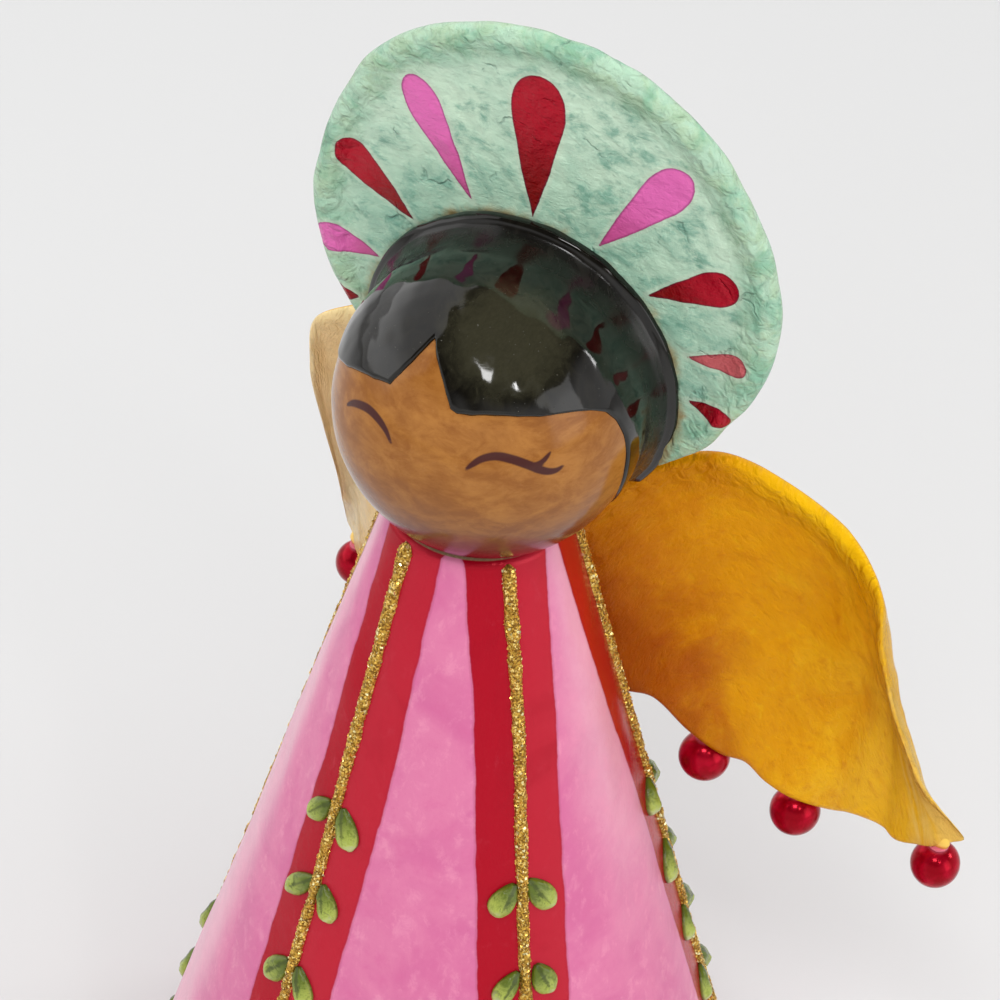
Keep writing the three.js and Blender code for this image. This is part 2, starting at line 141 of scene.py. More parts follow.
which = add_node(sky, "ShaderNodeMixShader", {}, {0: seen, 1: fill.outputs[0], 2: sweep.outputs[0]})
sky.links.new(which.outputs[0], sky.nodes["World Output"].inputs["Surface"])
print("world nodes:", len(sky.nodes))


# %% [markdown]
# ## Shader maths
# A painted surface is layers of masks. `Field` wraps one socket, so masks are written as sums, and
# `Finish` makes a material's nodes. Lengths in it are millimetres, from Object coordinates.
# %% Fields and finishes
def srgb(*numbers):
    """A colour as a screen shows it, 0 to 255, made linear."""
    return (*(((n / 255 + 0.055) / 1.055) ** 2.4 if n > 10 else n / 255 / 12.92 for n in numbers), 1)


class Field:
    def __init__(self, finish, socket):
        self.finish, self.socket = finish, socket

    def maths(self, operation, *values):
        return self.finish.add("Math", {"operation": operation}, dict(enumerate(values)))

    def __add__(self, other): return self.maths("ADD", self, other)
    def __sub__(self, other): return self.maths("SUBTRACT", self, other)
    def __rsub__(self, other): return self.maths("SUBTRACT", other, self)
    def __mul__(self, other): return self.maths("MULTIPLY", self, other)
    def __abs__(self): return self.maths("ABSOLUTE", self)
    __radd__, __rmul__ = __add__, __mul__

    def over(self, start, end):
        """0 below start, 1 above end, and smooth between."""
        return self.finish.add("MapRange", {"interpolation_type": "SMOOTHSTEP"},
                               {0: self, 1: start, 2: end, 3: 0, 4: 1})


class Finish:
    def __init__(self, name, **constants):
        self.material = bpy.data.materials.new(name)
        self.material.use_nodes = True
        self.tree = self.material.node_tree
        for key, value in constants.items():
            self.feed(key.replace("_", " "), value)
        objects = self.add("TexCoord", out=3)
        self.place = self.add("VectorMath", {"operation": "SCALE"}, {0: objects, 3: 1 / MM})

    def feed(self, name, value):
        """Sets one of the surface's own sockets."""
        socket = self.tree.nodes["Principled BSDF"].inputs[name]
        if isinstance(value, Field):
            self.tree.links.new(value.socket, socket)
        else:
            socket.default_value = value

    def add(self, kind, settings=None, values=None, out=0):
        values = {key: getattr(value, "socket", value) for key, value in (values or {}).items()}
        return Field(self, add_node(self.tree, "ShaderNode" + kind, settings, values).outputs[out])

    def mark(self, name):
        """A number that the mesh carries at each point."""
        return self.add("Attribute", {"attribute_name": name}, out=2)

    def clouds(self, size, detail=2, squeeze=(1, 1, 1), at=None, distortion=0.0, rough=0.5):
        """Noise between 0 and 1 whose blotches are about size millimetres across."""
        at = self.add("VectorMath", {"operation": "MULTIPLY"}, {0: at or self.place, 1: squeeze})
        return self.add("TexNoise", {}, {
            "Vector": at, "Scale": 1 / size, "Detail": detail, "Roughness": rough, "Distortion": distortion})

    def coats(self, tone, *layers):
        """Brushes masks with their tones over a tone. A tone is a field, or a screen colour."""
        for mask, above in layers:
            tone, above = (srgb(*each) if isinstance(each, tuple) else each for each in (tone, above))
            tone = self.add("Mix", {"data_type": "RGBA"}, {0: mask, 6: tone, 7: above}, out=2)
        return tone

    def relief(self, height):
        """Bumps whose height is in millimetres."""
        self.feed("Normal", self.add("Bump", {}, {"Strength": 1, "Distance": MM, "Height": height}))


print("colour check:", [round(c, 3) for c in srgb(229, 229, 229)])


# %% [markdown]
# ## Floor
# A wide pale sheet under the hem. It takes the figure's soft shadow, and its colour was chosen so that
# it renders as the picture's even pale grey.
# %% Floor
reach, darker, lighter = 3, (0.645, 0.645, 0.645, 1), (0.66, 0.66, 0.66, 1)
floor_finish = Finish("floor_paper", Roughness=0.9)
floor_finish.feed("Base Color", floor_finish.add("Mix", {"data_type": "RGBA"}, {
    0: floor_finish.clouds(300), 6: darker, 7: lighter}, out=2))
floor_mesh = bpy.data.meshes.new("floor")
floor_mesh.from_pydata([(-reach, -reach, 0), (reach, -reach, 0), (reach, reach, 0), (-reach, reach, 0)], [],
                       [(0, 1, 2, 3)])
floor_mesh.materials.append(floor_finish.material)
floor = new_object("floor", floor_mesh)
print("floor:", 2 * reach, "m wide")


# %% [markdown]
# ## Skins from rings of points
# Every form here is a skin over rings: a ball is rings between two poles, a wing is rings from root to
# tip. `skin` takes the rings in millimetres and closes both ends, and `piece` turns the faces outwards
# and makes the object, with numbers on its points for the finish to read.
# %% Skins
def skin(rings, ends="closed"):
    """Points and faces over rings. ends: closed (a point at each end), or ring (the last joins the first)."""
    rows, around = rings.shape[:2]
    index = np.arange(rows * around).reshape(rows, around)
    lower, upper = (index, np.roll(index, -1, 0)) if ends == "ring" else (index[:-1], index[1:])
    faces = np.stack([lower, np.roll(lower, -1, 1), np.roll(upper, -1, 1), upper], -1).reshape(-1, 4)
    points, faces = rings.reshape(-1, 3), faces.tolist()
    if ends == "closed":
        points = np.vstack([points, rings[0].mean(0), rings[-1].mean(0)])
        for tip, ring, turn in ((len(points) - 2, index[0], 1), (len(points) - 1, index[-1], -1)):
            faces += [(int(a), tip, int(b))[::turn] for a, b in zip(ring, np.roll(ring, -1))]
    return points, faces


def full_turn(count):
    return np.linspace(0, 2 * math.pi, count, endpoint=False)


def lathe(profile, sides=24):
    """Rings from a list of radii and heights."""
    turns = full_turn(sides)
    radii, heights = np.array(profile, float).T[..., None]
    return np.stack([radii * np.cos(turns), radii * np.sin(turns), heights + 0 * turns], -1)


def signed_volume(points, faces):
    """Positive where the faces look outwards."""
    corner, following, last = (points[[face[k] for face in faces]] for k in (0, 1, -1))
    return np.einsum("ij,ij->i", corner, np.cross(following, last)).sum()


def piece(name, parts, finish, marks=None):
    """One object from one or several skins, with numbers on its points, riding on the figure."""
    points, faces = [], []
    for some_points, some_faces in parts:
        turn = 1 if signed_volume(some_points, some_faces) > 0 else -1
        faces += [tuple(corner + len(points) for corner in face)[::turn] for face in some_faces]
        points += some_points.tolist()
    mesh = bpy.data.meshes.new(name)
    mesh.from_pydata((np.array(points) * MM).tolist(), [], faces)
    for mark, values in (marks or {}).items():
        layer = mesh.attributes.new(mark, "FLOAT", "POINT")
        layer.data.foreach_set("value", np.ascontiguousarray(values, np.float32))
    mesh.materials.append(finish.material)
    mesh.shade_smooth()
    shown = new_object(name, mesh)
    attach(shown, "root")
    print(f"{name}: {len(points)} points, {len(faces)} faces")
    return shown


# %% [markdown]
# ## Ripples and courses
# `ripple` is a smooth random field, made of waves of about one size, for the dents and swells of work
# done by hand. `smooth_course` draws a curve through a few stops without overshooting them.
# %% Ripples and courses
def ripple(points, size, seed, waves=14):
    rng = np.random.default_rng(seed)
    course = rng.normal(size=(waves, 3))
    course *= 2 * np.pi / size / np.linalg.norm(course, axis=1)[:, None] * rng.uniform(0.7, 1.4, (waves, 1))
    return np.sin(points @ course.T + rng.uniform(0, 2 * np.pi, waves)).sum(-1) / math.sqrt(waves / 2)


def ripples(points, *sorts):
    """Several ripples together, each with its height, size and seed."""
    return sum(height * ripple(points, size, seed) for height, size, seed in sorts)


def smooth_course(stops, count):
    """A curve through stops, as a table of count points (a centripetal Catmull-Rom curve)."""
    stops = np.asarray(stops, float)
    padded = np.vstack([2 * stops[0] - stops[1], stops, 2 * stops[-1] - stops[-2]])
    out = []
    for t in np.linspace(0, len(stops) - 1, count):
        i = min(int(t), len(stops) - 2)
        p = padded[i:i + 4]
        d = [max(np.linalg.norm(p[k + 1] - p[k]) ** 0.5, 1e-4) for k in range(3)]
        start = ((p[1] - p[0]) / d[0] - (p[2] - p[0]) / (d[0] + d[1]) + (p[2] - p[1]) / d[1]) * d[1]
        end = ((p[2] - p[1]) / d[1] - (p[3] - p[1]) / (d[1] + d[2]) + (p[3] - p[2]) / d[2]) * d[1]
        s = t - i
        out.append(p[1] + start * s + (3 * (p[2] - p[1]) - 2 * start - end) * s * s
                   + (2 * (p[1] - p[2]) + start + end) * s ** 3)
    return np.array(out)


def read_off(stops, places, count):
    """The second number of a smooth course, at places given by its first."""
    course = smooth_course(stops, count)
    return np.interp(places, course[:, 0], course[:, 1])


def ramp(values, start, end):
    """0 up to start, 1 from end on, and straight between."""
    return np.clip((values - start) / (end - start), 0, 1)


def unit(vectors):
    """The same directions, each one long."""
    return vectors / np.linalg.norm(vectors, axis=-1)[..., None]


def bump_at(values, centre, width):
    """1 at the centre, falling off in a bell."""
    return np.exp(-((values - centre) / width) ** 2)


print("a ripple at the origin:", round(float(ripple(np.zeros(3), 10, 1)), 3))

# %% [markdown]
# ## The figure's own sizes
# The same sizes as in the solids, in millimetres: the gown's cone, the head's place and turn, and the
# courses of the six glitter lines, as degrees round the gown at seven distances down it.
# %% Sizes of the figure
gown_height, hem_radius, neck_radius = 161.5, 58.2, 13.5
slope = (hem_radius - neck_radius) / gown_height
slant = math.hypot(gown_height, hem_radius - neck_radius)
head_centre, head_radius = np.array([0, 1.2, 180.06]), 22.5
head_turn, halo_turn = math.radians(10), math.radians(7.5)
course_downs = [0, 15, 30, 45, 60, 75, slant]
courses = [
    (-84, -84, -83.5, -83, -82.5, -82, -81), (-13.2, -12.1, -12.1, -12, -11.7, -11.8, -10.8),
    (53.5, 54.6, 55, 54.3, 53.8, 53.7, 53.6), (123, 123.6, 124, 124.6, 125, 125.4, 126),
    (181, 180.8, 180.5, 180.2, 180, 179.5, 178), (233, 232.8, 232.6, 232.3, 232, 231.8, 231)]


def turned(points, angle):
    c, s = math.cos(angle), math.sin(angle)
    return np.stack([points[..., 0] * c - points[..., 1] * s, points[..., 0] * s + points[..., 1] * c,
                     points[..., 2]], -1)


print("gown slant:", round(slant, 1), "mm")

# %% [markdown]
# ## Head
# A pulp ball with closed lids as dark strokes. The strokes could be curves laid on the ball, but they
# are paint, so each point of the ball carries its distance inside a stroke, and the finish draws the
# line where that turns positive. Columns of points are closer on the face than at the back.
# %% Head
lid_strokes = [     # degrees across and up the ball, and half the stroke's width in millimetres
    ([(-42, 13.6), (-39, 16.4), (-34.8, 18.7), (-29.2, 20.3), (-23.4, 19.9), (-18.2, 18), (-14.2, 14.5)], 0.66),
    ([(16.2, 14.1), (18.2, 16.1), (21.7, 18.6), (26.6, 19.8), (32, 18.8), (38.3, 16.2), (43.1, 13.4), (46.2, 12.1),
      (49.3, 11.8), (52, 12.7)], 0.68),
    ([(38.5, 15.6), (43.6, 16.2), (47.5, 19.4)], 0.42)]
far_off = -9.0


def inside_stroke(points, stops, half_width):
    """How far inside a tapering brush stroke each point lies, in millimetres."""
    path = smooth_course(stops, 60)
    line = towards(path[:, 0], path[:, 1]) * head_radius
    share = np.linspace(0, 1, len(line))
    widths = half_width * (0.3 + 0.7 * np.sin(math.pi * share) ** 0.7)
    best = np.full(len(points), far_off)
    for spot, width in zip(line, widths):
        best = np.maximum(best, width - np.linalg.norm(points - spot, axis=1))
    return best


ball_rows, ball_columns, crowding = 190, 320, 32
latitudes = np.linspace(89.2, -89.2, ball_rows)[:, None]
columns = np.linspace(-180, 180, ball_columns, endpoint=False)[None, :]
columns = columns - crowding * np.sin(np.radians(columns))
ball_points, ball_faces = skin(towards(columns + 0 * latitudes, latitudes + 0 * columns) * head_radius)
lids = np.max([inside_stroke(ball_points, *stroke) for stroke in lid_strokes], 0)
ball_points = ball_points * (1 + ripples(ball_points, (0.0018, 24, 3), (0.0006, 7, 4)))[:, None]
print("points inside the lids:", int((lids > 0).sum()))


# %% [markdown]
# The skin is copper brown, brushed on in short strokes, with pulp fibres showing through. Below the
# cheeks it is duller, a painted shade, and at the neck it is nearly the gown's dark red, a painted reflection
# of the gown.
# %% Head paint
def painted_skin():
    paint = Finish("painted_skin", Roughness=0.12, Specular_IOR_Level=0.28)
    height = paint.add("SeparateXYZ", {}, {0: paint.place}, out=2)
    strokes = paint.clouds(3.5, 7, (0.6, 0.6, 1.2), distortion=0.4, rough=0.72)
    fibres = paint.clouds(0.7, 4, (0.8, 0.8, 1.4), distortion=0.8, rough=0.75)
    lid_edge = paint.mark("lids") + (strokes - 0.5) * 0.25
    paint.feed("Base Color", paint.coats(
        (140, 85, 32),
        (strokes.over(0.36, 0.64), (166, 110, 50)),
        # painted shade under the ball, then a painted reflection of the dark red gown at the neck
        ((height + strokes * 8).over(186, 173) * 0.85, (124, 78, 50)),
        ((height + strokes * 6).over(178.5, 168) * 0.95, (84, 20, 26)),
        (paint.clouds(9, 3).over(0.52, 0.72) * 0.4, (122, 70, 26)),
        (fibres.over(0.58, 0.8) * 0.3, (104, 60, 30)),
        (fibres.over(0.4, 0.22) * 0.3, (192, 140, 84)),
        (lid_edge.over(-0.14, 0.16) * 0.93, (56, 18, 26))))
    paint.relief(strokes * 0.02 + fibres * 0.008)
    return paint


head = piece("head", [(turned(ball_points, head_turn) + head_centre, ball_faces)], painted_skin(), {"lids": lids})
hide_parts("head_ball")

# %% [markdown]
# ## Hair
# Black lacquer laid on thickly, with a parting, two bangs and a lock behind the cheek. A map of the
# hair line round the face, in degrees across and up the ball, gives the front edge. Rings run from it
# to the back of the head.
# %% Hair line
hair_line = [
    (-62.9, 17.9), (-52, 23), (-42.5, 27.6), (-33, 30.5), (-23.7, 33), (-21.5, 38.5), (-19.4, 44.2), (-17.6, 50),
    (-15.6, 55.6), (-9.5, 50.4), (-2.5, 44.6), (2.6, 39), (6.4, 34), (9.5, 32.9), (16, 33.4), (25.8, 34.1),
    (35, 33.5), (44.8, 32.5), (53, 32), (60.7, 30.7), (68, 28.6), (74.9, 25.1), (79.3, 19.6),
    (82.3, 11.7), (83.6, 2.8), (83.6, -5.6), (84.9, -19.1), (89.5, -29), (99, -37), (113, -42), (132, -45),
    (155, -47), (180, -48), (205, -47), (228, -42), (242, -34), (250, -24), (255, -15), (259, -7), (263, 0),
    (269, 6), (278, 12), (288, 16)]
hair_columns = 440
edge_line = towards(*np.array(hair_line).T)
line_turn, line_width = np.arctan2(edge_line[:, 2], edge_line[:, 0]), np.arccos(-edge_line[:, 1])
order = np.argsort(line_turn)
turns = np.linspace(-math.pi, math.pi, hair_columns, endpoint=False)
widths = np.interp(turns, line_turn[order], line_width[order], period=2 * math.pi)
print("hair line:", len(hair_line), "places")

# %% [markdown]
# Where the ball meets the halo it was filled with a fillet of pulp, so the hair flares there like the
# rim of a bowl: hollow at first, then rolled over in a lip, and dropping away at once behind it, inside
# the plate. Rows of points crowd together at the lip. Below the halo's rim there is nothing to fill.
# %% Hair shape
halo_front = 10.9       # behind the head's centre, where the fillet meets the plate
hair_rows, lip_angle, lip_crowd_width, back_gap = 190, 2.02, 0.11, 0.012
hair_inside, hair_edge, coat, swelling, softness = 21.9, 22.42, 0.42, 0.25, 0.25
lip_shares = [          # distance back as a share of halo_front, and the fillet's radius there
    (-0.3, 21.6), (0, 22.2), (0.3, 22.4), (0.5, 22.65), (0.66, 23.05), (0.76, 23.5), (0.82, 23.85), (0.85, 24.2),
    (0.875, 24.6), (0.905, 24.88), (0.94, 24.98), (0.98, 24.95), (1.02, 24.8), (1.1, 23.4), (1.16, 21)]
spread = np.linspace(0, math.pi, 2000)
crowd = np.cumsum(1 + 4 * bump_at(spread, lip_angle, lip_crowd_width) - 0.5 * (spread > 2.3))
first, last = np.interp(widths[None, :], spread, crowd), np.interp(math.pi - back_gap, spread, crowd)
angle = np.interp(first + (last - first) * np.linspace(0, 1, hair_rows)[:, None], crowd, spread)
course = np.stack([np.sin(angle) * np.cos(turns), -np.cos(angle) + 0 * turns, np.sin(angle) * np.sin(turns)], -1)
from_edge = (angle - widths[None, :]) * head_radius
radius = hair_edge + coat * ramp(from_edge, 0, 0.55) ** 0.5 + swelling * ramp(from_edge, 0, 14)
swell = course * radius[..., None]
back_share, across = swell[..., 1] / halo_front, np.hypot(swell[..., 0], swell[..., 2])
grow = np.logaddexp(0, (read_off(lip_shares, back_share, 300) - across) / softness) * softness
grow *= ramp(back_share, -0.35, -0.1) * ramp(back_share, 1.22, 1.12) * ramp(from_edge, 0, 2)
grow *= ramp(swell[..., 2], -16, -12)
outwards = np.stack([swell[..., 0], 0 * across, swell[..., 2]], -1) / np.maximum(across, 1)[..., None]
dents = ripples(swell, (0.045, 11, 11), (0.02, 4, 12), (0.05 * ramp(back_share, 0, 1), 5, 13))
outer = swell + outwards * grow[..., None] + course * dents[..., None]
inner = course[::-8] * hair_inside
hair_points, hair_faces = skin(np.concatenate([outer[::-1], inner[::-1]]))
print("the lip stands out by", round(float(grow.max()), 2), "mm")


# %% [markdown]
# The lacquer is black with a brown cast, and its gloss varies with the brush. A hazy olive patch over the
# right bang is a painted sheen, and the fillet's hollow is duller than the ball.
# %% Hair paint
def black_lacquer():
    paint = Finish("black_lacquer")
    brushed = paint.clouds(2.6, 5, (1, 1, 0.5), distortion=1.2, rough=0.6)
    dust = paint.clouds(0.35, 1).over(0.76, 0.8)
    scratches = paint.clouds(0.5, 4, (1.4, 0.6, 1), distortion=0.5, rough=0.75)
    # painted sheen: the olive haze stands for the lamp's broad reflection, broken up by scratches
    painted_sheen = (paint.mark("painted_sheen") + (brushed - 0.5) * 0.5).over(0.25, 0.8) * (0.45 + scratches * 0.8)
    paint.feed("Base Color", paint.coats(
        (9, 7, 4),
        (brushed.over(0.35, 0.7), (20, 17, 11)),
        (painted_sheen, (52, 50, 36)),
        (dust * 0.3, (120, 118, 105))))
    paint.feed("Roughness", 0.07 + brushed.over(0.5, 0.75) * 0.1 + dust * 0.3 + paint.mark("hollow") * 0.2)
    paint.relief(brushed * 0.012 + dust * 0.02)
    return paint


# where the painted sheen sits on the hair
sheen_azimuth, sheen_latitude = 34, 62
from_sheen = np.linalg.norm(hair_points / head_radius - towards(sheen_azimuth, sheen_latitude), axis=1)
hair_back = hair_points[:, 1] / halo_front
hair = piece("hair", [(turned(hair_points, head_turn) + head_centre, hair_faces)], black_lacquer(), {
    "painted_sheen": ramp(from_sheen, 0.625, 0.125), "hollow": ramp(hair_back, 0.25, 0.45) * ramp(hair_back, 0.86, 0.81)})
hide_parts("hair_cap")

# %% [markdown]
# ## Petals
# The nine painted petals point at the head, so they are placed round the head's fillet. One profile
# makes them all, and each point of the halo will carry its distance inside the nearest of them.
# %% Petals
ring_centre = np.array([-1.4, -20.2])       # middle of the fillet, across and up from the halo's middle
petal_table = [     # degrees round the fillet at the tip and at the end, radii of both, half width, pinkness
    (0, -0.4, 26.2, 49.8, 4.2, 0), (-20.6, -25.6, 26.8, 47.6, 2.8, 1), (22.2, 28.6, 26.9, 47.8, 3.2, 1),
    (-45.4, -48.2, 26.1, 42.2, 2.8, 0), (42.9, 50.2, 27, 41.4, 2.9, 0), (-67.6, -71.6, 25.8, 36, 2.4, 1),
    (65.2, 68.6, 27.6, 37, 1.8, 0.5), (81, 84.6, 26.2, 33.6, 1.7, 0), (-86, -88, 26.6, 32.3, 1.8, 0)]
petal_profile = [(0, 0), (0.08, 0.13), (0.2, 0.32), (0.35, 0.55), (0.5, 0.72), (0.62, 0.88), (0.74, 1),
                 (0.84, 0.96), (0.92, 0.78), (0.97, 0.5), (0.99, 0.28), (1, 0)]


def petal_outline(start_turn, end_turn, start, end, half_width, _):
    tip, crown = (ring_centre + radius * np.array([math.sin(math.radians(a)), math.cos(math.radians(a))])
                  for a, radius in ((start_turn, start), (end_turn, end)))
    along = crown - tip
    across = unit(np.array([along[1], -along[0]]))
    profile = smooth_course(petal_profile, 30)
    left_side = [tip + along * s + across * half_width * w for s, w in profile]
    right_side = [tip + along * s - across * half_width * w for s, w in profile[-2:0:-1]]
    return np.array(left_side + right_side)


def inside_outline(points, outline):
    """Distance inside a closed outline, negative outside, for flat points."""
    best = np.full(len(points), np.inf)
    crossings = np.zeros(len(points), int)
    for a, b in zip(outline, np.roll(outline, -1, 0)):
        side = b - a
        share = np.clip(((points - a) @ side) / (side @ side + 1e-12), 0, 1)
        best = np.minimum(best, np.linalg.norm(points - a - share[:, None] * side, axis=1))
        spans = (a[1] > points[:, 1]) != (b[1] > points[:, 1])
        with np.errstate(divide="ignore", invalid="ignore"):
            crossings += spans & (points[:, 0] < a[0] + (points[:, 1] - a[1]) * side[0] / side[1])
    return np.where(crossings % 2 == 1, best, -best)


print("petals:", len(petal_table))

# %% [markdown]
# ## Halo
# A round of pasted paper with a rolled rim. Its section, from the middle of the front out over the roll
# and back to the middle behind, is a list of radii and depths, and turning it makes the plate.
# %% Halo plate
halo_radius, roll_radius, rim_width, plate_front, plate_thickness = 36.6, 1.7, 5.5, -0.5, 2.4
rim_dish, roll_columns = 0.85, 420
roll_centre, plate_back = halo_radius - roll_radius, plate_front + plate_thickness
front_radii = np.concatenate([np.linspace(0.4, 17, 24), np.linspace(17.5, halo_radius - rim_width, 40)])
profile = [(radius, plate_front) for radius in front_radii]
profile += [(radius, plate_front - rim_dish * s * s * (3 - 2 * s)) for s, radius in
            zip(np.linspace(0, 1, 14)[1:], np.linspace(front_radii[-1], roll_centre, 14)[1:])]
profile += [(roll_centre + roll_radius * math.sin(a), -math.cos(a) * (1.35 if a < math.pi / 2 else roll_radius))
            for a in np.linspace(0, math.pi, 26)[1:]]
profile += [(radius, roll_radius + (plate_back - roll_radius) * min(1, (roll_centre - radius) / 4))
            for radius in np.linspace(roll_centre - 0.5, 0.4, 40)]
halo_points, halo_faces = skin(lathe(profile, roll_columns)[..., [0, 2, 1]])
print("section of the halo:", len(profile), "places")

# %% [markdown]
# Lacquer catches the light on creases, so they are raised in the mesh itself, and the rim wobbles. The
# marks for the paint are taken before that, while the plate is still true.
# %% Halo marks and creases
front_limit, roll_start = 0.4, 35.5     # points beyond these belong to the halo's back, and to its roll
petal_start, hair_rim = 26.5, 24.6      # distances from the middle of the fillet
flat = halo_points[:, [0, 2]]
petal_fields = np.array([inside_outline(flat, petal_outline(*petal)) for petal in petal_table])
petal_ends, pinks = np.array([(petal[3], petal[5]) for petal in petal_table])[petal_fields.argmax(0)].T
from_middle = np.linalg.norm(flat, axis=1)
to_fillet = np.linalg.norm(flat - ring_centre, axis=1)
rim_share = ramp(from_middle, 30, 34)
halo_marks = {
    "petals": np.where(halo_points[:, 1] < front_limit, petal_fields.max(0), far_off), "pink": pinks,
    "along": (to_fillet - petal_start) / (petal_ends - petal_start), "rim": rim_share}
creases = 0.1 * np.abs(ripple(halo_points, 17, 21)) ** 0.5
lift = creases + ripples(halo_points, (0.05, 4.5, 22), (0.02 + 0.05 * rim_share, 1.9, 23))
lift *= np.where(halo_points[:, 1] < 0.7, 1, -1)
wobble = ripples(halo_points, (0.22, 30, 24), (0.1, 9, 25)) * ramp(from_middle, 31, 35)
halo_points = halo_points.copy()
halo_points[:, 1] -= lift * np.where(from_middle < roll_start, 1, 0.3)
halo_points[:, [0, 2]] += flat / np.maximum(from_middle, 1)[:, None] * wobble[:, None]
halo_marks["to_fillet"] = np.where(halo_points[:, 1] < 0.6, to_fillet - hair_rim, 9)
print("creases lift by up to", round(float(lift.max()), 2), "mm")


# %% [markdown]
# The mint is several thin coats: blotches, brush marks, pale hairs of pulp, a green rim with painted cream
# glints, dark wrinkles where paint pooled, and brown glue at the hair. The petals are laid over it, darker
# at their points and round their edges.
# %% Halo paint
def petal_paint(paint, hairs, inside):
    along, pink = paint.mark("along"), paint.mark("pink")
    crimson = paint.coats((130, 0, 0), (along.over(0.15, 0.75), (176, 0, 32)))
    rose = paint.coats((196, 78, 140), (along.over(0.1, 0.7), (224, 104, 176)))
    return paint.coats(
        crimson,
        (pink.over(0.6, 0.9), rose),
        (pink.over(0.3, 0.45) * (1 - pink.over(0.6, 0.9)), (196, 92, 96)),
        (hairs.over(0.6, 0.85) * 0.2, (226, 120, 160)),
        (inside.over(0.4, 0.05) * 0.5, (70, 16, 50)))


def mint_lacquer():
    paint = Finish("mint_lacquer", Roughness=0.11, Specular_IOR_Level=0.35)
    blotches = paint.clouds(7, 5, distortion=0.5, rough=0.62)
    streaks = paint.clouds(3, 6, (0.6, 1, 0.9), distortion=0.3, rough=0.68)
    hairs = paint.clouds(0.9, 5, (0.5, 1, 1.3), distortion=0.5, rough=0.75)
    rim = paint.mark("rim")
    # wrinkles are the borders of bent cells, where the blotches are
    warp = paint.add("TexNoise", {}, {"Vector": paint.place, "Scale": 0.12, "Detail": 4}, out=1)
    bent = paint.add("VectorMath", {"operation": "MULTIPLY_ADD"}, {0: warp, 1: (16, 16, 16), 2: paint.place})
    cells = paint.add("TexVoronoi", {"feature": "DISTANCE_TO_EDGE"}, {"Vector": bent, "Scale": 0.075})
    wrinkles = cells.over(0.035, 0) * blotches.over(0.52, 0.66)
    smudge = paint.mark("to_fillet") + (blotches - 0.5) * 7
    inside = paint.mark("petals") + (hairs - 0.5) * 0.22
    is_petal = inside.over(-0.07, 0.07)
    paint.feed("Base Color", paint.coats(
        (184, 214, 188),
        (blotches.over(0.3, 0.7), (150, 190, 166)),
        (paint.mark("to_fillet").over(4, 20) * 0.4, (222, 240, 216)),
        (streaks.over(0.46, 0.68) * 0.75, (92, 150, 130)),
        (hairs.over(0.55, 0.75) * 0.5, (218, 236, 214)),
        (rim * 0.45, (150, 196, 166)),
        # painted glints: pale cream streaks along the rim
        (rim * streaks.over(0.42, 0.6) * 0.3, (206, 218, 168)),
        (rim * blotches.over(0.45, 0.65) * 0.5, (98, 170, 138)),
        (wrinkles * 0.4, (58, 118, 104)),
        (smudge.over(2.2, -0.2) * 0.8, (146, 112, 50)),
        (smudge.over(0.2, -1.4) * 0.6, (70, 52, 20)),
        (inside.over(-0.9, -0.3) * 0.5, (196, 214, 190)),
        (is_petal, petal_paint(paint, hairs, inside))))
    paint.feed("Metallic", is_petal * (1 - paint.mark("pink")) * 0.3)
    crinkles = paint.clouds(2.2, 3, distortion=1.0)
    paint.relief(streaks * 0.5 + hairs * 0.18 + blotches * 0.5 - wrinkles * 0.25 + crinkles * (rim + 0.2))
    return paint


halo_centre = head_centre + turned(np.array([1.4, 11.9, 19.1]), head_turn)
halo = piece("halo", [(turned(halo_points, halo_turn) + halo_centre, halo_faces)], mint_lacquer(), halo_marks)
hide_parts("halo_plate")

# %% [markdown]
# ## Gown
# A cone of pasted paper. It is one closed wall: down the outside, round the hem and up the inside. The
# leaves and the glitter lines will use the same `on_cone`, so they lie on the wall's swells.
# %% Gown wall
gown_rows, gown_columns, inner_rows, wall_inwards = 170, 400, 40, -2.49
drum_radius, drum_height = 40, 0.7      # the swells are laid on a drum, so that they keep their size


def on_cone(angle, down, out=0.0):
    """A place on the gown: angle from the front towards the figure's left, and distance down the slant."""
    height = gown_height * (1 - down / slant)
    ring = drum_radius * np.stack([np.cos(angle), np.sin(angle), 0 * angle], -1)
    ring[..., 2] = drum_height * down
    hand_laid = ripples(ring, (0.14, 60, 31), (0.05, 14, 32)) * ramp(down, 0, 12)
    radius = hem_radius - slope * height + out + hand_laid
    return np.stack([radius * np.sin(angle), -radius * np.cos(angle), height + 0 * radius], -1)


around_gown = np.linspace(-math.pi, math.pi, gown_columns, endpoint=False)[None, :]
outer_downs, inner_downs = np.linspace(0, slant, gown_rows)[:, None], np.linspace(slant, 0, inner_rows)[:, None]
outside = on_cone(around_gown + 0 * outer_downs, outer_downs + 0 * around_gown)
inside_wall = on_cone(around_gown + 0 * inner_downs, inner_downs + 0 * around_gown, wall_inwards)
lip = (outside[:1] * 0.45 + inside_wall[-1:] * 0.55) + np.array([0, 0, 0.35])
gown_points, gown_faces = skin(np.concatenate([outside, inside_wall, lip]), "ring")
print("gown points:", len(gown_points))


# %% [markdown]
# The six stripes follow the glitter lines and widen towards the hem, a little more on one side than on
# the other. Each point carries how far inside a stripe it lies, so that the brush's edge stays sharp at
# any size. Three more marks say which side of the line it is on, where a painted sheen makes the pink
# paler on both sides of the gown, and where the wall is bare inside.
# %% Gown marks
def course_angle(course, down):
    return np.radians(read_off(list(zip(course_downs, course)), down, 120))


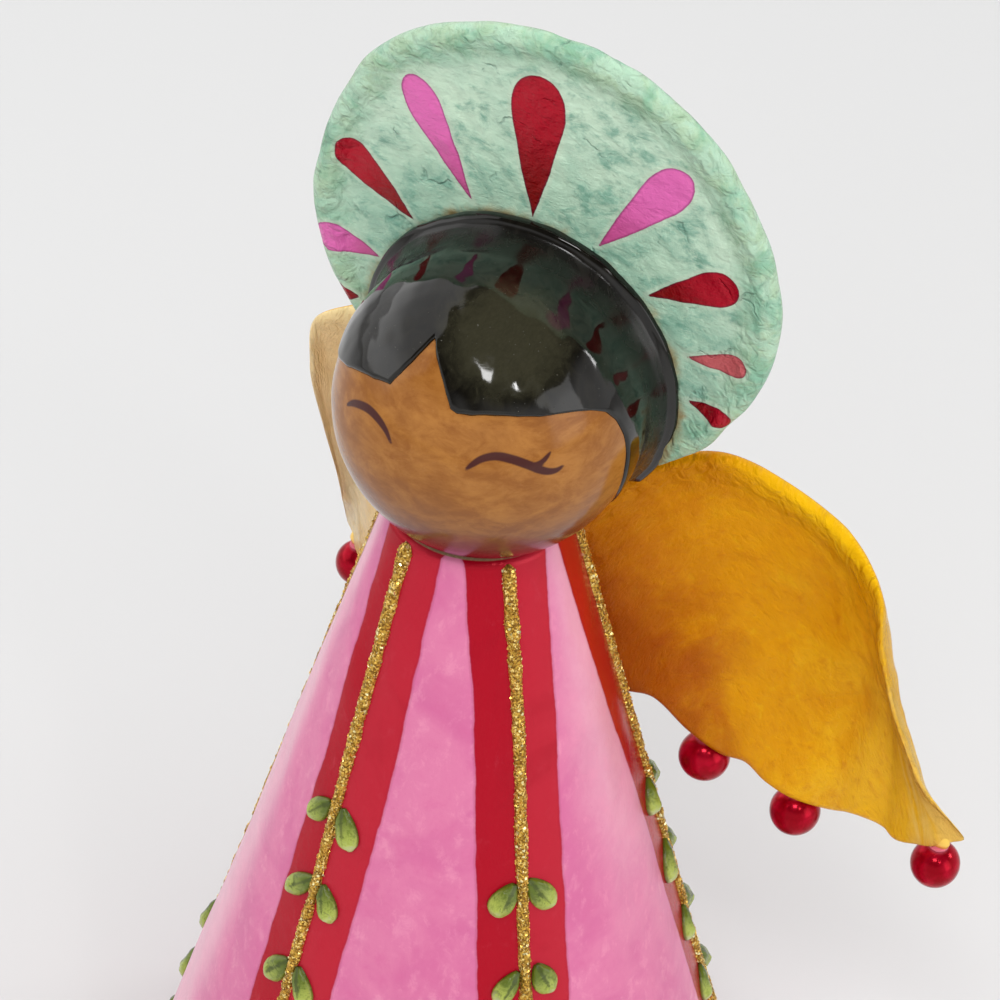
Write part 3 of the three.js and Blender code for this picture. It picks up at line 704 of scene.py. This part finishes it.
stripe_downs = [0, 20, 40, 60, slant]
even = [6, 6.7, 7.2, 7.7, 9.3]
stripe_widths = [   # before and after each line, at those distances down
    (even, even), ([5.4, 5, 5.1, 6.5, 9], [5.9, 6.9, 8, 7.8, 9.5]),
    ([6.4, 6.5, 6.8, 7.1, 9.2], [6.4, 6.2, 6.4, 7.1, 9.2]), ([7.2, 8.1, 8, 6.8, 8], even), (even, even), (even, even)]
point_angle = np.arctan2(gown_points[:, 0], -gown_points[:, 1])
point_down = slant * (1 - gown_points[:, 2] / gown_height)
point_radius = np.linalg.norm(gown_points[:, :2], axis=1)
stripe, side = np.full(len(gown_points), -20.0), np.zeros(len(gown_points))
for course, (before, after) in zip(courses, stripe_widths):
    off = ((point_angle - course_angle(course, point_down) + np.pi) % (2 * np.pi) - np.pi) * point_radius
    width = np.where(off < 0, np.interp(point_down, stripe_downs, before), np.interp(point_down, stripe_downs, after))
    nearer = width - abs(off) > stripe
    stripe, side = np.where(nearer, width - abs(off), stripe), np.where(nearer, off, side)
bare = np.zeros(len(gown_points))
bare[gown_rows * gown_columns:] = 1
point_degrees = np.degrees(point_angle)
# a painted sheen on both sides of the gown, where the satin catches the light
painted_side_sheen = np.maximum(bump_at(point_degrees, 98, 26) * np.clip(1.2 - point_down / 90, 0.15, 0.75),
                   bump_at(point_degrees, -60, 18))
print("share of the gown under stripes:", round(float((stripe > 0).mean()), 2))


# %% [markdown]
# The pink is satin paint brushed over white pulp, so it is mottled and a little see-through. The crimson
# is one thin coat over it, darker where the brush passed twice and on one side of most lines. Inside,
# the wall is bare brown pulp.
# %% Gown paint
def pink_lacquer():
    paint = Finish("pink_lacquer", Specular_IOR_Level=0.22)
    mottle = paint.clouds(13, 4, distortion=0.6, rough=0.55)
    brush = paint.clouds(3, 7, (1, 1, 0.7), distortion=0.3, rough=0.7)
    weave = paint.clouds(0.55, 3, rough=0.7)
    side_sheen = paint.mark("painted_side_sheen") + (brush - 0.5) * 0.5
    rose = paint.coats(
        (208, 106, 152),
        (mottle.over(0.34, 0.64), (217, 122, 161)),
        (brush.over(0.5, 0.72) * 0.4, (208, 98, 148)),
        # painted sheen: the pink is paler on both sides of the gown
        (side_sheen.over(0.2, 0.9) * 0.5, (248, 200, 212)),
        (brush.over(0.5, 0.3) * 0.3, (242, 166, 190)),
        (weave.over(0.6, 0.8) * 0.22, (190, 84, 118)))
    dark_side = paint.mark("side") + (mottle - 0.5) * 5
    red = paint.coats(
        (174, 0, 30),
        (dark_side.over(-1.2, 1.2) * 0.9, (190, 32, 52)),
        (mottle.over(0.5, 0.7) * 0.35, (160, 0, 28)),
        (brush.over(0.55, 0.78) * 0.3, (200, 62, 80)),
        # painted sheen on the crimson too, on the same sides
        (paint.mark("painted_side_sheen").over(0.2, 0.8) * 0.5, (190, 40, 10)))
    edge = paint.mark("stripe") + (paint.clouds(5, 4) - 0.5) * 0.9
    pulp = paint.coats((150, 122, 92), (weave.over(0.4, 0.7), (178, 152, 118)))
    inside = paint.mark("bare").over(0.4, 0.6)
    paint.feed("Base Color", paint.coats(
        rose,
        (edge.over(-0.12, 0.12), red),
        ((1 - abs(edge).over(0.1, 0.5)) * 0.25, (150, 10, 50)),
        (inside, pulp)))
    paint.feed("Roughness", 0.24 + inside * 0.6)
    paint.feed("Metallic", edge.over(-0.12, 0.12) * (1 - inside) * 0.25)
    paint.relief(brush * 0.1 + mottle * 0.2 + weave * 0.02)
    return paint


gown = piece("gown", [(gown_points, gown_faces)], pink_lacquer(), {
    "stripe": stripe, "side": side, "bare": bare, "painted_side_sheen": painted_side_sheen})
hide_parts("gown_shell")

# %% [markdown]
# ## Wings
# Each wing is one stiff plate of pulp, cupped backwards, with three rounded lobes below. Its two edges
# are the same courses as in the solids, as shares of the wing's reach, sweep and drop. The plate is
# thicker along the top of its leading edge, and thinned from behind along the outer part.
# %% Wing shape
wing_reach, wing_sweep, wing_drop = 62.4, 54, 96
leading_shares = [
    (0.11, 0.248, 0.26), (0.29, 0.37, 0.148), (0.42, 0.441, 0.117), (0.587, 0.537, 0.171), (0.73, 0.589, 0.243),
    (0.841, 0.544, 0.287), (0.871, 0.559, 0.403), (0.891, 0.672, 0.586), (0.931, 0.841, 0.803), (1, 0.992, 0.955)]
lower_shares = [
    (0.278, 0.359, 0.636), (0.329, 0.392, 0.643), (0.415, 0.447, 0.711), (0.489, 0.504, 0.761),
    (0.537, 0.548, 0.779), (0.584, 0.593, 0.827), (0.642, 0.647, 0.867), (0.713, 0.724, 0.898),
    (0.761, 0.776, 0.912), (0.828, 0.849, 0.949), (0.86, 0.883, 0.985), (0.904, 0.931, 1),
    (0.942, 0.968, 1.008), (1, 1.009, 0.987)]
stations, wing_columns, cup_share = 170, 84, 0.065
plate, lip_extra, lip_width, thinned_width = 2, 0.6, 4, 6


def wing_places(shares):
    across, behind_axis, below = np.array(shares).T
    return np.stack([across * wing_reach, behind_axis * wing_sweep, head_centre[2] - below * wing_drop], -1)


leading, lower = (smooth_course(wing_places(shares), stations) for shares in (leading_shares, lower_shares))
length_share = np.linspace(0, 1, stations)[:, None]
down_share = ((1 - np.cos(np.linspace(0, np.pi, wing_columns + 1))) / 2)[None, :]
span = np.linalg.norm(lower - leading, axis=1)[:, None]
middles = leading[:, None] + (lower - leading)[:, None] * down_share[..., None]
middles[..., 1] += cup_share * span * np.sin(np.pi * down_share) * ramp(length_share, 0, 0.4)
lengthwise, crosswise = np.gradient(middles, axis=0), np.gradient(middles, axis=1)
crosswise[:, 0], crosswise[:, -1] = crosswise[:, 1], crosswise[:, -2]
facing = unit(np.cross(lengthwise, crosswise))
facing *= np.sign(facing[stations // 2, wing_columns // 2, 1])
to_lip, to_edge = down_share * span, np.minimum(down_share, 1 - down_share) * span
top_edge = ramp(length_share, 0.62, 0.42)
thinning = (1 - top_edge) * bump_at(to_lip, 0, thinned_width)
thickness = (plate + lip_extra * top_edge * bump_at(to_lip, 0, lip_width)) * (1 - 0.7 * thinning)
thickness = thickness * np.minimum(1, 0.45 + (1 - length_share) * 5)
print("wing: widest", round(float(span.max()), 1), "mm")


# %% [markdown]
# A cast pulp sheet is never flat, so its front and back get swells and creases. Rings go from root to
# tip, each down the front and up the back. The first sinks into the gown's wall, and the last few
# shrink to round the tip off.
# %% Wing skins
def half_thickness(run):
    """Half the plate's thickness, where the edge is rounded over a width of run millimetres."""
    return thickness / 2 * np.sqrt(1 - (1 - ramp(to_edge, 0, run)) ** 2)


def wing_rings(sign):
    front_lift = ripples(middles, (0.16, 21, 41), (0.07, 7, 42), (0.035, 2.6, 44))
    front_lift += 0.09 * np.abs(ripple(middles, 12, 43)) ** 0.5
    back_lift = ripples(middles, (0.12, 18, 45), (0.04, 5, 46))
    fade, gutter = ramp(to_edge, 0, 1.5), -0.12 * bump_at(to_lip, 6, 2.2) * top_edge
    front = middles - facing * (half_thickness(1.4) + 0.7 * thinning + fade * (front_lift + gutter))[..., None]
    rear = middles + facing * (half_thickness(1.2) - 0.7 * thinning + fade * back_lift)[..., None]
    rings = np.concatenate([front, rear[:, -2:0:-1]], 1)
    inwards = ((middles[1] - middles[0]) * np.array([1, 1, 0])).mean(0)
    rings[0] -= unit(inwards) * root_sink
    beyond = unit(rings[-1].mean(0) - rings[-6].mean(0))
    for step, keep, push in ((-4, 0.98, 0.1), (-3, 0.92, 0.25), (-2, 0.8, 0.4), (-1, 0.5, 0.5)):
        centre = rings[step].mean(0)
        rings[step] = centre + (rings[step] - centre) * keep + beyond * push
    return rings * (sign, 1, 1)


root_sink = 1.3
front_and_back = list(range(wing_columns + 1)) + list(range(wing_columns - 1, 0, -1))
down_shares = np.tile(down_share[0][front_and_back], stations)
length_shares = np.repeat(length_share[:, 0], len(front_and_back))
print("points round a ring:", len(front_and_back))

# %% [markdown]
# A lump of pulp behind each lobe holds a bead's pin, and a small tab goes on from the root through the
# gown's wall. The last lump is flat, because the plate is thin there.
# %% Lumps and tabs
pin_table = [(0.2, 1), (0.485, 1), (0.937, 0)]      # share of the lower edge, and whether it is set back
bead_radius, pin_setback, boss_radius, boss_height, last_flatness = 4.15, 2.2, 1.9, 3.2, 0.55
boss_profile = [(0.3, 0.05), (boss_radius * 0.85, 0), *(
    (boss_radius * wide, boss_height * high) for wide, high in ((1, 0.3), (0.92, 0.5), (0.7, 0.75), (0.35, 0.95))),
    (0.05, boss_height)]
tab_half, tab_corner, tab_alongs = (0.7, 7), (0.4, 6.4), (-5.6, -3, 0, 1.2)


def pin_sites(sign):
    course = smooth_course(wing_places(lower_shares), 2001)
    for share, set_back in pin_table:
        at = int(round(share * (len(course) - 1)))
        way = unit((course[at + 2] - course[at - 2]) * np.array([1, 1, 0]))
        yield (course[at] + np.array([-way[1], way[0], 0]) * set_back * pin_setback) * np.array([sign, 1, 1])


def tab_rings(sign):
    root, further = middles[0, wing_columns // 2], middles[int(0.12 * stations), wing_columns // 2]
    way = unit((further - root) * np.array([1, 1, 0]))
    normal = np.array([-way[1], way[0], 0])
    (wide, tall), (narrow, low) = tab_half, tab_corner
    outline = [(-wide, -low), (-wide, low), (-narrow, tall), (narrow, tall), (wide, low), (wide, -low),
               (narrow, -tall), (-narrow, -tall)]
    return np.array([[root + way * along + normal * across + np.array([0, 0, rise]) for across, rise in outline]
                     for along in tab_alongs]) * np.array([sign, 1, 1])


print("pins per wing:", len(pin_table))


# %% [markdown]
# The amber is a yellow lacquer over brown stain. Its fibres lie along the wing, so the noise is laid out
# in the wing's own length and width. It is browner at the root, paler at the tip and crinkled along the
# lip. The far wing shows pale in the picture, so its front has a paler coat.
# %% Wing paint
wing_length, other_wing = 95, 50        # millimetres of noise along a wing, and from one wing to the other


def amber_lacquer(name, painted_light):
    paint = Finish(name, Roughness=0.13, Specular_IOR_Level=0.32, Metallic=0 if painted_light else 0.2,
                   Specular_Tint=(1, 0.8, 0.2, 1))
    out, down = paint.mark("out"), paint.mark("down")
    laid = paint.add("CombineXYZ", {}, {
        0: out * wing_length, 1: paint.mark("down_mm"), 2: painted_light * other_wing})
    patches = paint.clouds(13, 5, at=laid, distortion=0.8, rough=0.6)
    grain = paint.clouds(3.2, 6, (0.9, 1.1, 1), laid, distortion=0.4, rough=0.72)
    threads = paint.clouds(0.8, 5, (0.8, 1, 1), laid, distortion=0.3, rough=0.75)
    crinkles = paint.clouds(2.4, 3, at=laid, distortion=1.0)
    root_shade = (patches - 0.5) * 0.35 - out
    # painted highlight: a yellower band along the top of the lip, where it catches the light
    lip_highlight = (0.16 - down + (patches - 0.5) * 0.3).over(0, 0.16) * out.over(0.7, 0.4) * out.over(0.2, 0.34)
    tone = paint.coats(
        (232, 160, 0),
        ((out + (patches - 0.5) * 1.1).over(0.3, 0.7), (246, 186, 20)),
        (grain.over(0.5, 0.72) * 0.5, (206, 120, 0)),
        (grain.over(0.46, 0.3) * 0.6, (240, 184, 10)),
        (threads.over(0.56, 0.76) * 0.3, (170, 88, 2)),
        ((out + (patches - 0.5) * 0.5).over(0.78, 0.93) * 0.8, (252, 212, 110)),
        (threads.over(0.42, 0.28) * 0.35, (240, 184, 20)),
        # painted shade: browner towards the root, where the wing meets the gown
        (root_shade.over(-0.34, -0.06) * 0.5, (186, 84, 0)),
        ((root_shade + down * 0.3).over(-0.1, 0.18) * 0.7, (160, 52, 0)),
        (lip_highlight * 0.8, (240, 184, 6)))
    if painted_light:
        # painted light: the far wing's front is made paler, less so towards its lower edge
        shown = paint.mark("front") * (1 - down.over(0.65, 1) * 0.6)
        tone = paint.coats(tone, (shown * painted_light + 0.15, (252, 226, 170)))
    paint.feed("Base Color", tone)
    paint.relief(grain * 0.5 + threads * 0.3 + patches * 0.5 + crinkles * (0.14 - down).over(0, 0.1) * 1.2)
    return paint


# %% [markdown]
# The two wings are mirror images in shape. Their lumps and tabs are skins of the same object, and take
# the marks of the place on the plate that they stand on.
# %% Wings
# the right wing is the far one, and only it gets the painted light
for side_name, sign, painted_light in (("left", 1, 0.0), ("right", -1, 0.8)):
    lumps = [lathe(boss_profile) * (1, last_flatness if number == len(pin_table) else 1, 1) + site
             for number, site in enumerate(pin_sites(sign), 1)]
    extras = [skin(rings) for rings in (*lumps, tab_rings(sign))]
    spots = np.repeat([*(share for share, _ in pin_table), 0], [len(points) for points, _ in extras])
    down_mm = np.interp(length_shares, length_share[:, 0], span[:, 0]) * down_shares
    on_front = np.tile(np.arange(2 * wing_columns) <= wing_columns, stations)
    finish = amber_lacquer(f"amber_lacquer_{side_name}", painted_light)
    # after the rings' points come the two that close the ends, then the lumps' and the tab's
    wing = piece(f"wing_plate_{side_name}", [skin(wing_rings(sign)), *extras], finish, {
        "out": np.concatenate([length_shares, [0, 1], spots]),
        "front": np.concatenate([on_front, [0, 1], 0 * spots]),
        "down": np.concatenate([down_shares, [0.5, 0.5], 0 * spots + 0.97]),
        "down_mm": np.concatenate([down_mm, [12, 2], 40 * (1 - spots)])})
    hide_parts(f"wing_{side_name}")


# %% [markdown]
# ## Beads
# Pearl-coated glass, glued under the lobes. A ball alone would look like a stand-in, so the bead is
# turned from one profile with its flattened poles and a collar of pink glue that climbs the pin.
# %% Beads
def red_pearl():
    paint = Finish("red_pearl", Roughness=0.18, Specular_IOR_Level=0.15)
    glue = paint.mark("glue")
    paint.feed("Base Color", paint.coats(
        (150, 0, 22), (paint.clouds(2.5, 3).over(0.35, 0.7), (182, 8, 40)), (glue, (214, 110, 128))))
    paint.feed("Metallic", 0.45 - glue * 0.45)
    paint.relief(paint.clouds(0.8, 3) * 0.01 + glue * paint.clouds(1.2) * 0.1)
    return paint


bead_finish, bead_gap, collar_start = red_pearl(), 0.3, 3.75
bead_profile = [(bead_radius * math.sin(a), -bead_radius * math.cos(a)) for a in np.radians(np.linspace(2, 168, 46))]
collar_profile = [(1.15, 4.12), (1.25, 4.25), (1.7, 4.4), (1.5, 4.6), (0.5, 4.66)]
for side_name, sign in (("left", 1), ("right", -1)):
    for number, site in enumerate(pin_sites(sign), 1):
        points, faces = skin(lathe(bead_profile + collar_profile, 48))
        points = points * (1 + 0.004 * ripple(points, 6, 50 + number))[:, None]
        centre = site - np.array([0, 0, bead_gap + bead_radius])
        bead = piece(f"pearl_{side_name}_{number}", [(points + centre, faces)], bead_finish,
                     {"glue": ramp(points[:, 2], collar_start, collar_start + 0.25)})
        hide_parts(f"bead_{side_name}_{number}")


# %% [markdown]
# ## Trees that repeat
# Flakes and leaves repeat by the hundred, so Geometry Nodes trees place them. `run_tree` runs a tree on
# a mesh and leaves a plain object, with no modifier.
# %% Trees
def new_tree(name, sockets):
    tree = bpy.data.node_groups.new(name, "GeometryNodeTree")
    tree.interface.new_socket("Geometry", in_out="INPUT", socket_type="NodeSocketGeometry")
    for label, kind in sockets:
        tree.interface.new_socket(label, in_out="INPUT", socket_type=kind)
    tree.interface.new_socket("Geometry", in_out="OUTPUT", socket_type="NodeSocketGeometry")
    return (tree, partial(add_node, tree), tree.nodes.new("NodeGroupInput").outputs,
            tree.nodes.new("NodeGroupOutput").inputs[0])


def run_tree(name, base, tree, values):
    holder = new_object(name + "_base", base)
    modifier = holder.modifiers.new("tree", "NODES")
    modifier.node_group = tree
    for item in tree.interface.items_tree:
        if item.in_out == "INPUT" and item.name in values:
            modifier[item.identifier] = values[item.name]
    bpy.context.view_layer.update()
    evaluated = holder.evaluated_get(bpy.context.evaluated_depsgraph_get())
    mesh = bpy.data.meshes.new_from_object(evaluated)
    mesh.name = name
    bpy.data.objects.remove(holder)
    made = new_object(name, mesh)
    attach(made, "root")
    print(f"{name}: {len(mesh.polygons)} faces")
    return made


# %% [markdown]
# ## Glitter lines
# Each line is gold glitter glue squeezed from a nozzle. The tree scatters flakes over the bead of glue
# and gives each its own turn and size. They are hexagons, as glitter is cut, and each carries a random
# number for its own brightness, a real tone and, at the brightest, painted sparkle.
# %% Glitter tree
glitter_tree, node, given, result = new_tree("glitter_line", [
    ("Flake Radius", "NodeSocketFloat"), ("Flake Thickness", "NodeSocketFloat"), ("Density", "NodeSocketFloat"),
    ("Seed", "NodeSocketInt"), ("Glue", "NodeSocketMaterial"), ("Flakes", "NodeSocketMaterial")])
smallest, largest, tilt = 0.6, 1.35, 0.9
spots = node("GeometryNodeDistributePointsOnFaces", {"distribute_method": "RANDOM"}, {
    "Mesh": given["Geometry"], "Density": given["Density"], "Seed": given["Seed"]})
flake = node("GeometryNodeMeshCylinder", {"fill_type": "NGON"}, {
    "Vertices": 6, "Radius": given["Flake Radius"], "Depth": given["Flake Thickness"]})
tumble = node("FunctionNodeRandomValue", {"data_type": "FLOAT_VECTOR"}, {
    0: (-tilt, -tilt, 0), 1: (tilt, tilt, 6.28), "Seed": given["Seed"]})
face_up = node("FunctionNodeRotateRotation", {"rotation_space": "LOCAL"}, {
    0: spots.outputs["Rotation"], 1: tumble.outputs[0]})
sizes, luck = (node("FunctionNodeRandomValue", {"data_type": "FLOAT"}, {
    2: low, 3: high, "Seed": given["Seed"]}).outputs[1] for low, high in ((smallest, largest), (0.0, 1.0)))
strewn = node("GeometryNodeInstanceOnPoints", {}, {
    "Points": spots.outputs["Points"], "Instance": flake.outputs["Mesh"], "Rotation": face_up.outputs[0],
    "Scale": sizes})
marked = node("GeometryNodeStoreNamedAttribute", {"data_type": "FLOAT", "domain": "INSTANCE"}, {
    "Geometry": strewn.outputs[0], "Name": "luck", "Value": luck})
real = node("GeometryNodeRealizeInstances", {}, {0: marked.outputs[0]})
both = node("GeometryNodeJoinGeometry")
for geometry, label in ((given["Geometry"], "Glue"), (real.outputs[0], "Flakes")):
    coloured = node("GeometryNodeSetMaterial", {}, {0: geometry, "Material": given[label]})
    glitter_tree.links.new(coloured.outputs[0], both.inputs[0])
glitter_tree.links.new(both.outputs[0], result)
print("glitter tree:", len(glitter_tree.nodes), "nodes")


# %% [markdown]
# The glue is a half-round bead swept down each course, thick where the nozzle first touched. Its own
# grain is painted, because only the flakes on top stand clear of it.
# %% Glitter lines
def gold_glue():
    paint = Finish("gold_glue", Roughness=0.35, Metallic=0.6)
    grain = paint.add("TexVoronoi", {}, {"Vector": paint.place, "Scale": 3.6}, out=1)
    luck = paint.add("SeparateXYZ", {}, {0: grain})
    paint.feed("Base Color", paint.coats(
        # the brightest grains are painted sparkle
        (128, 88, 20), (luck.over(0.15, 0.7), (214, 168, 66)), (luck.over(0.82, 0.9), (255, 226, 140))))
    paint.relief(luck * 0.12)
    return paint


def gold_flakes():
    paint = Finish("gold_flakes", Roughness=0.28, Metallic=0.9)
    luck = paint.mark("luck")
    paint.feed("Base Color", paint.coats(
        # the brightest flakes are painted sparkle
        (166, 120, 30), (luck.over(0.1, 0.75), (236, 194, 92)), (luck.over(0.88, 0.96), (255, 246, 190))))
    return paint


def glue_rings(course):
    downs = np.linspace(line_top_gap, slant - line_hem_gap, 330)
    angles = course_angle(course, downs)
    middle_line = on_cone(angles, downs)
    round_way = np.stack([np.cos(angles), np.sin(angles), 0 * angles], -1)
    out_way = unit(np.cross(np.gradient(middle_line, axis=0), round_way))
    width = glue_width - thinner_below * downs / slant + 0.16 * ripple(middle_line, 5, 61) + 0.5 * np.exp(-downs / 4)
    ends = np.clip(np.minimum(downs - downs[0], downs[-1] - downs) / 1.2, 0.05, 1) ** 0.5
    turns = full_turn(12)
    rise = np.sin(turns) * np.where(np.sin(turns) > 0, 1.0, 0.45)
    height = (glue_height + 0.08 * ripple(middle_line, 3, 62)) * ends
    return (middle_line[:, None] + round_way[:, None] * (np.cos(turns) * (width * ends)[:, None] / 2)[..., None]
            + out_way[:, None] * (rise * height[:, None])[..., None])


line_top_gap, line_hem_gap = 0.2, 3
glue_width, glue_height, thinner_below = 1.95, 0.95, 0.35
flake_radius, flake_thickness, flakes_per_mm2 = 0.19, 0.06, 5.2
glue_finish, flake_finish = gold_glue(), gold_flakes()
for number, course in enumerate(courses, 1):
    points, faces = skin(glue_rings(course))
    base = bpy.data.meshes.new(f"glue_{number}")
    base.from_pydata((points * MM).tolist(), [], faces)
    if signed_volume(points, faces) < 0:
        base.flip_normals()
    line = run_tree(f"glitter_{number}", base, glitter_tree, {
        "Flake Radius": flake_radius * MM, "Flake Thickness": flake_thickness * MM,
        "Density": flakes_per_mm2 / MM ** 2, "Seed": number,
        "Glue": glue_finish.material, "Flakes": flake_finish.material})
    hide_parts(f"vine_{number}")


# %% [markdown]
# ## Leaves
# Small lumps of clay, pressed on in pairs and painted olive, each with a dark pinched foot at the line,
# a crease along it and a pale rounded tip. One leaf is modelled here, and a tree repeats it.
# %% One leaf
def leaf_mesh():
    around_leaf = full_turn(22)
    along = (1 - np.cos(np.linspace(0.12, np.pi - 0.12, 17))) / 2
    width = np.interp(along, [0, 0.12, 0.3, 0.5, 0.7, 0.86, 1], [0.2, 0.5, 0.8, 0.98, 1, 0.82, 0.3])
    rise = np.interp(along, [0, 0.15, 0.4, 0.7, 0.9, 1], [0.35, 0.62, 0.88, 1, 0.75, 0.3])
    up_part = np.sin(around_leaf)[None, :]
    up_part = np.where(up_part > 0, up_part, 0.5 * up_part)
    crease = 1 - 0.3 * bump_at(np.cos(around_leaf)[None, :], 0, 0.22) * ramp(along, 0.75, 0.125)[:, None]
    points, faces = skin(np.stack([
        (along - 0.5)[:, None] * leaf_length + 0 * around_leaf,
        np.cos(around_leaf)[None, :] * width[:, None] * leaf_width / 2,
        up_part * rise[:, None] * leaf_height * crease], -1))
    points[:, 2] += 0.1 * ripple(points, 2.4, 71) * (points[:, 2] > 0)
    return points, faces


def olive_clay():
    paint = Finish("olive_clay", Roughness=0.25)
    along = paint.mark("along")
    smear = paint.clouds(1.3, 4, distortion=1.0, rough=0.65)
    crease = abs(paint.mark("side")) + (smear - 0.5) * 1.6 + along.over(0.5, 1) * 0.8
    paint.feed("Base Color", paint.coats(
        (88, 104, 20),
        ((along + (smear - 0.5) * 1.3).over(0.2, 0.85), (166, 178, 76)),
        (smear.over(0.52, 0.7) * 0.7, (56, 68, 8)),
        (crease.over(0.55, 0.1) * 0.65, (46, 56, 10)),
        ((along + (smear - 0.5) * 0.8).over(0.74, 1.05) * 0.6, (212, 214, 164)),
        ((1 - paint.mark("high").over(0.05, 0.5)) * 0.6, (60, 60, 20))))
    paint.relief(smear * 0.12)
    return paint


leaf_length, leaf_width, leaf_height = 6.4, 4.2, 1.6
leaf_finish = olive_clay()
leaf_points, leaf_faces = leaf_mesh()
leaf = piece("leaf", [(leaf_points, leaf_faces)], leaf_finish, {
    "along": leaf_points[:, 0] / leaf_length + 0.5, "high": leaf_points[:, 2], "side": leaf_points[:, 1]})

# %% [markdown]
# The tree sets the leaf at every point of a mesh, with the turn and the size that the point carries.
# %% Leaf tree
leaf_tree, node, given, result = new_tree("leaf_pairs", [("Leaf", "NodeSocketObject"), ("Paint", "NodeSocketMaterial")])
turn_mark, size_mark = (node("GeometryNodeInputNamedAttribute", {"data_type": "FLOAT_VECTOR"}, {
    "Name": name}).outputs["Attribute"] for name in ("turn", "size"))
model = node("GeometryNodeObjectInfo", {}, {"Object": given["Leaf"]})
turn_value = node("FunctionNodeEulerToRotation", {}, {0: turn_mark})
set_out = node("GeometryNodeInstanceOnPoints", {}, {
    "Points": given["Geometry"], "Instance": model.outputs["Geometry"], "Rotation": turn_value.outputs[0],
    "Scale": size_mark})
real = node("GeometryNodeRealizeInstances", {}, {0: set_out.outputs[0]})
coloured = node("GeometryNodeSetMaterial", {}, {0: real.outputs[0], "Material": given["Paint"]})
leaf_tree.links.new(coloured.outputs[0], result)
print("leaf tree:", len(leaf_tree.nodes), "nodes")

# %% [markdown]
# Pairs of leaves follow each line at one pitch. Every leaf leans out by about the same angle, and a
# little chance in its lean, place and size keeps the pairs from looking stamped.
# %% Leaves on the lines
leaf_pitch, leaf_start, leaf_offset, leaf_lean = 15, 51.4, 2.9, math.radians(34)
lean_chance, left_leans_less, place_chance = 0.14, 0.12, 0.5
first_pairs = (4.2, 0, 0.35, 0.53, 0.1, 0.45)       # how many pitches further down each line's leaves start
strays = {(2, 0): -1, (2, 1): -2, (3, 1): 0.5}      # pairs set higher or lower than the pitch, in millimetres
rng = np.random.default_rng(8)


def leaf_place(course, down, side_sign):
    """Where one leaf sits, how it is turned, and its size."""
    lean = leaf_lean + rng.uniform(-lean_chance, lean_chance) - (left_leans_less if side_sign > 0 else 0)
    low = down + rng.uniform(-place_chance, place_chance)
    radius = hem_radius - slope * gown_height * (1 - low / slant)
    at_angle = float(course_angle(course, np.array(low))) + side_sign * leaf_offset / radius
    radial = Vector((math.sin(at_angle), -math.cos(at_angle), 0))
    round_way = Vector((math.cos(at_angle), math.sin(at_angle), 0))
    down_way = (radial * slope - Vector((0, 0, 1))).normalized()
    out_way = down_way.cross(round_way).normalized()
    long_way = down_way * math.cos(lean) + round_way * side_sign * math.sin(lean)
    frame_of_leaf = Matrix((long_way, out_way.cross(long_way), out_way)).transposed()
    return (on_cone(np.array(at_angle), np.array(low), 0.1) * MM, tuple(frame_of_leaf.to_euler()),
            (rng.uniform(0.9, 1.14), rng.uniform(0.84, 1.06), rng.uniform(0.9, 1.15)))


for number, (course, first_pair) in enumerate(zip(courses, first_pairs), 1):
    pairs = int((slant - line_hem_gap - leaf_length - leaf_start) / leaf_pitch - first_pair) + 1
    places, ways, scales = zip(*(
        leaf_place(course, leaf_start + (first_pair + pair) * leaf_pitch + strays.get((number, pair), 0), side_sign)
        for pair in range(pairs) for side_sign in (-1, 1)))
    base = bpy.data.meshes.new(f"leaf_places_{number}")
    base.from_pydata(places, [], [])
    for mark, values in (("turn", ways), ("size", scales)):
        layer = base.attributes.new(mark, "FLOAT_VECTOR", "POINT")
        layer.data.foreach_set("vector", np.array(values, np.float32).ravel())
    leaves = run_tree(f"leaves_{number}", base, leaf_tree, {"Leaf": leaf, "Paint": leaf_finish.material})
    leaves.data.shade_smooth()
    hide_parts(f"vine_{number}")
bpy.data.objects.remove(leaf)


# %% [markdown]
# ## What holds it together
# The hoop, the card disc, the dowel and the pins are seen only from below or not at all. Their solids
# are right as they are, so they stay and only get finishes: drawn wire, card and turned wood.
# %% Hidden pieces
def plain_finish(name, grain, edges, darker, lighter, depth, **constants):
    """Two tones by one grain: its clouds as size, detail, squeeze, distortion and roughness."""
    paint = Finish(name, **constants)
    size, detail, squeeze, distortion, rough = grain
    clouds = paint.clouds(size, detail, squeeze, distortion=distortion, rough=rough)
    paint.feed("Base Color", paint.coats(darker, (clouds.over(*edges) if edges else clouds, lighter)))
    paint.relief(clouds * depth)
    return paint.material


wire = plain_finish("drawn_wire", (0.8, 4, (1, 1, 4), 0, 0.5), None, (120, 120, 122), (176, 176, 178), 0.02,
                    Roughness=0.35, Metallic=1.0)
card = plain_finish("grey_card", (0.9, 5, (1, 1, 1), 0, 0.7), (0.35, 0.7), (158, 132, 98), (190, 166, 128), 0.08,
                    Roughness=0.85)
wood = plain_finish("beech_dowel", (1.2, 4, (1, 1, 0.12), 0.6, 0.5), (0.35, 0.65), (178, 138, 92), (206, 172, 124),
                    0.05, Roughness=0.6)
kept = {"hem_hoop": wire, "neck_disc": card, "head_dowel": wood}
kept.update({f"bead_pin_{side}_{number}": wire for side in ("left", "right") for number in (1, 2, 3)})
for node_name, material in kept.items():
    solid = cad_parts[node_name].data
    solid.materials.clear()
    solid.materials.append(material)
print("kept solids:", len(kept))
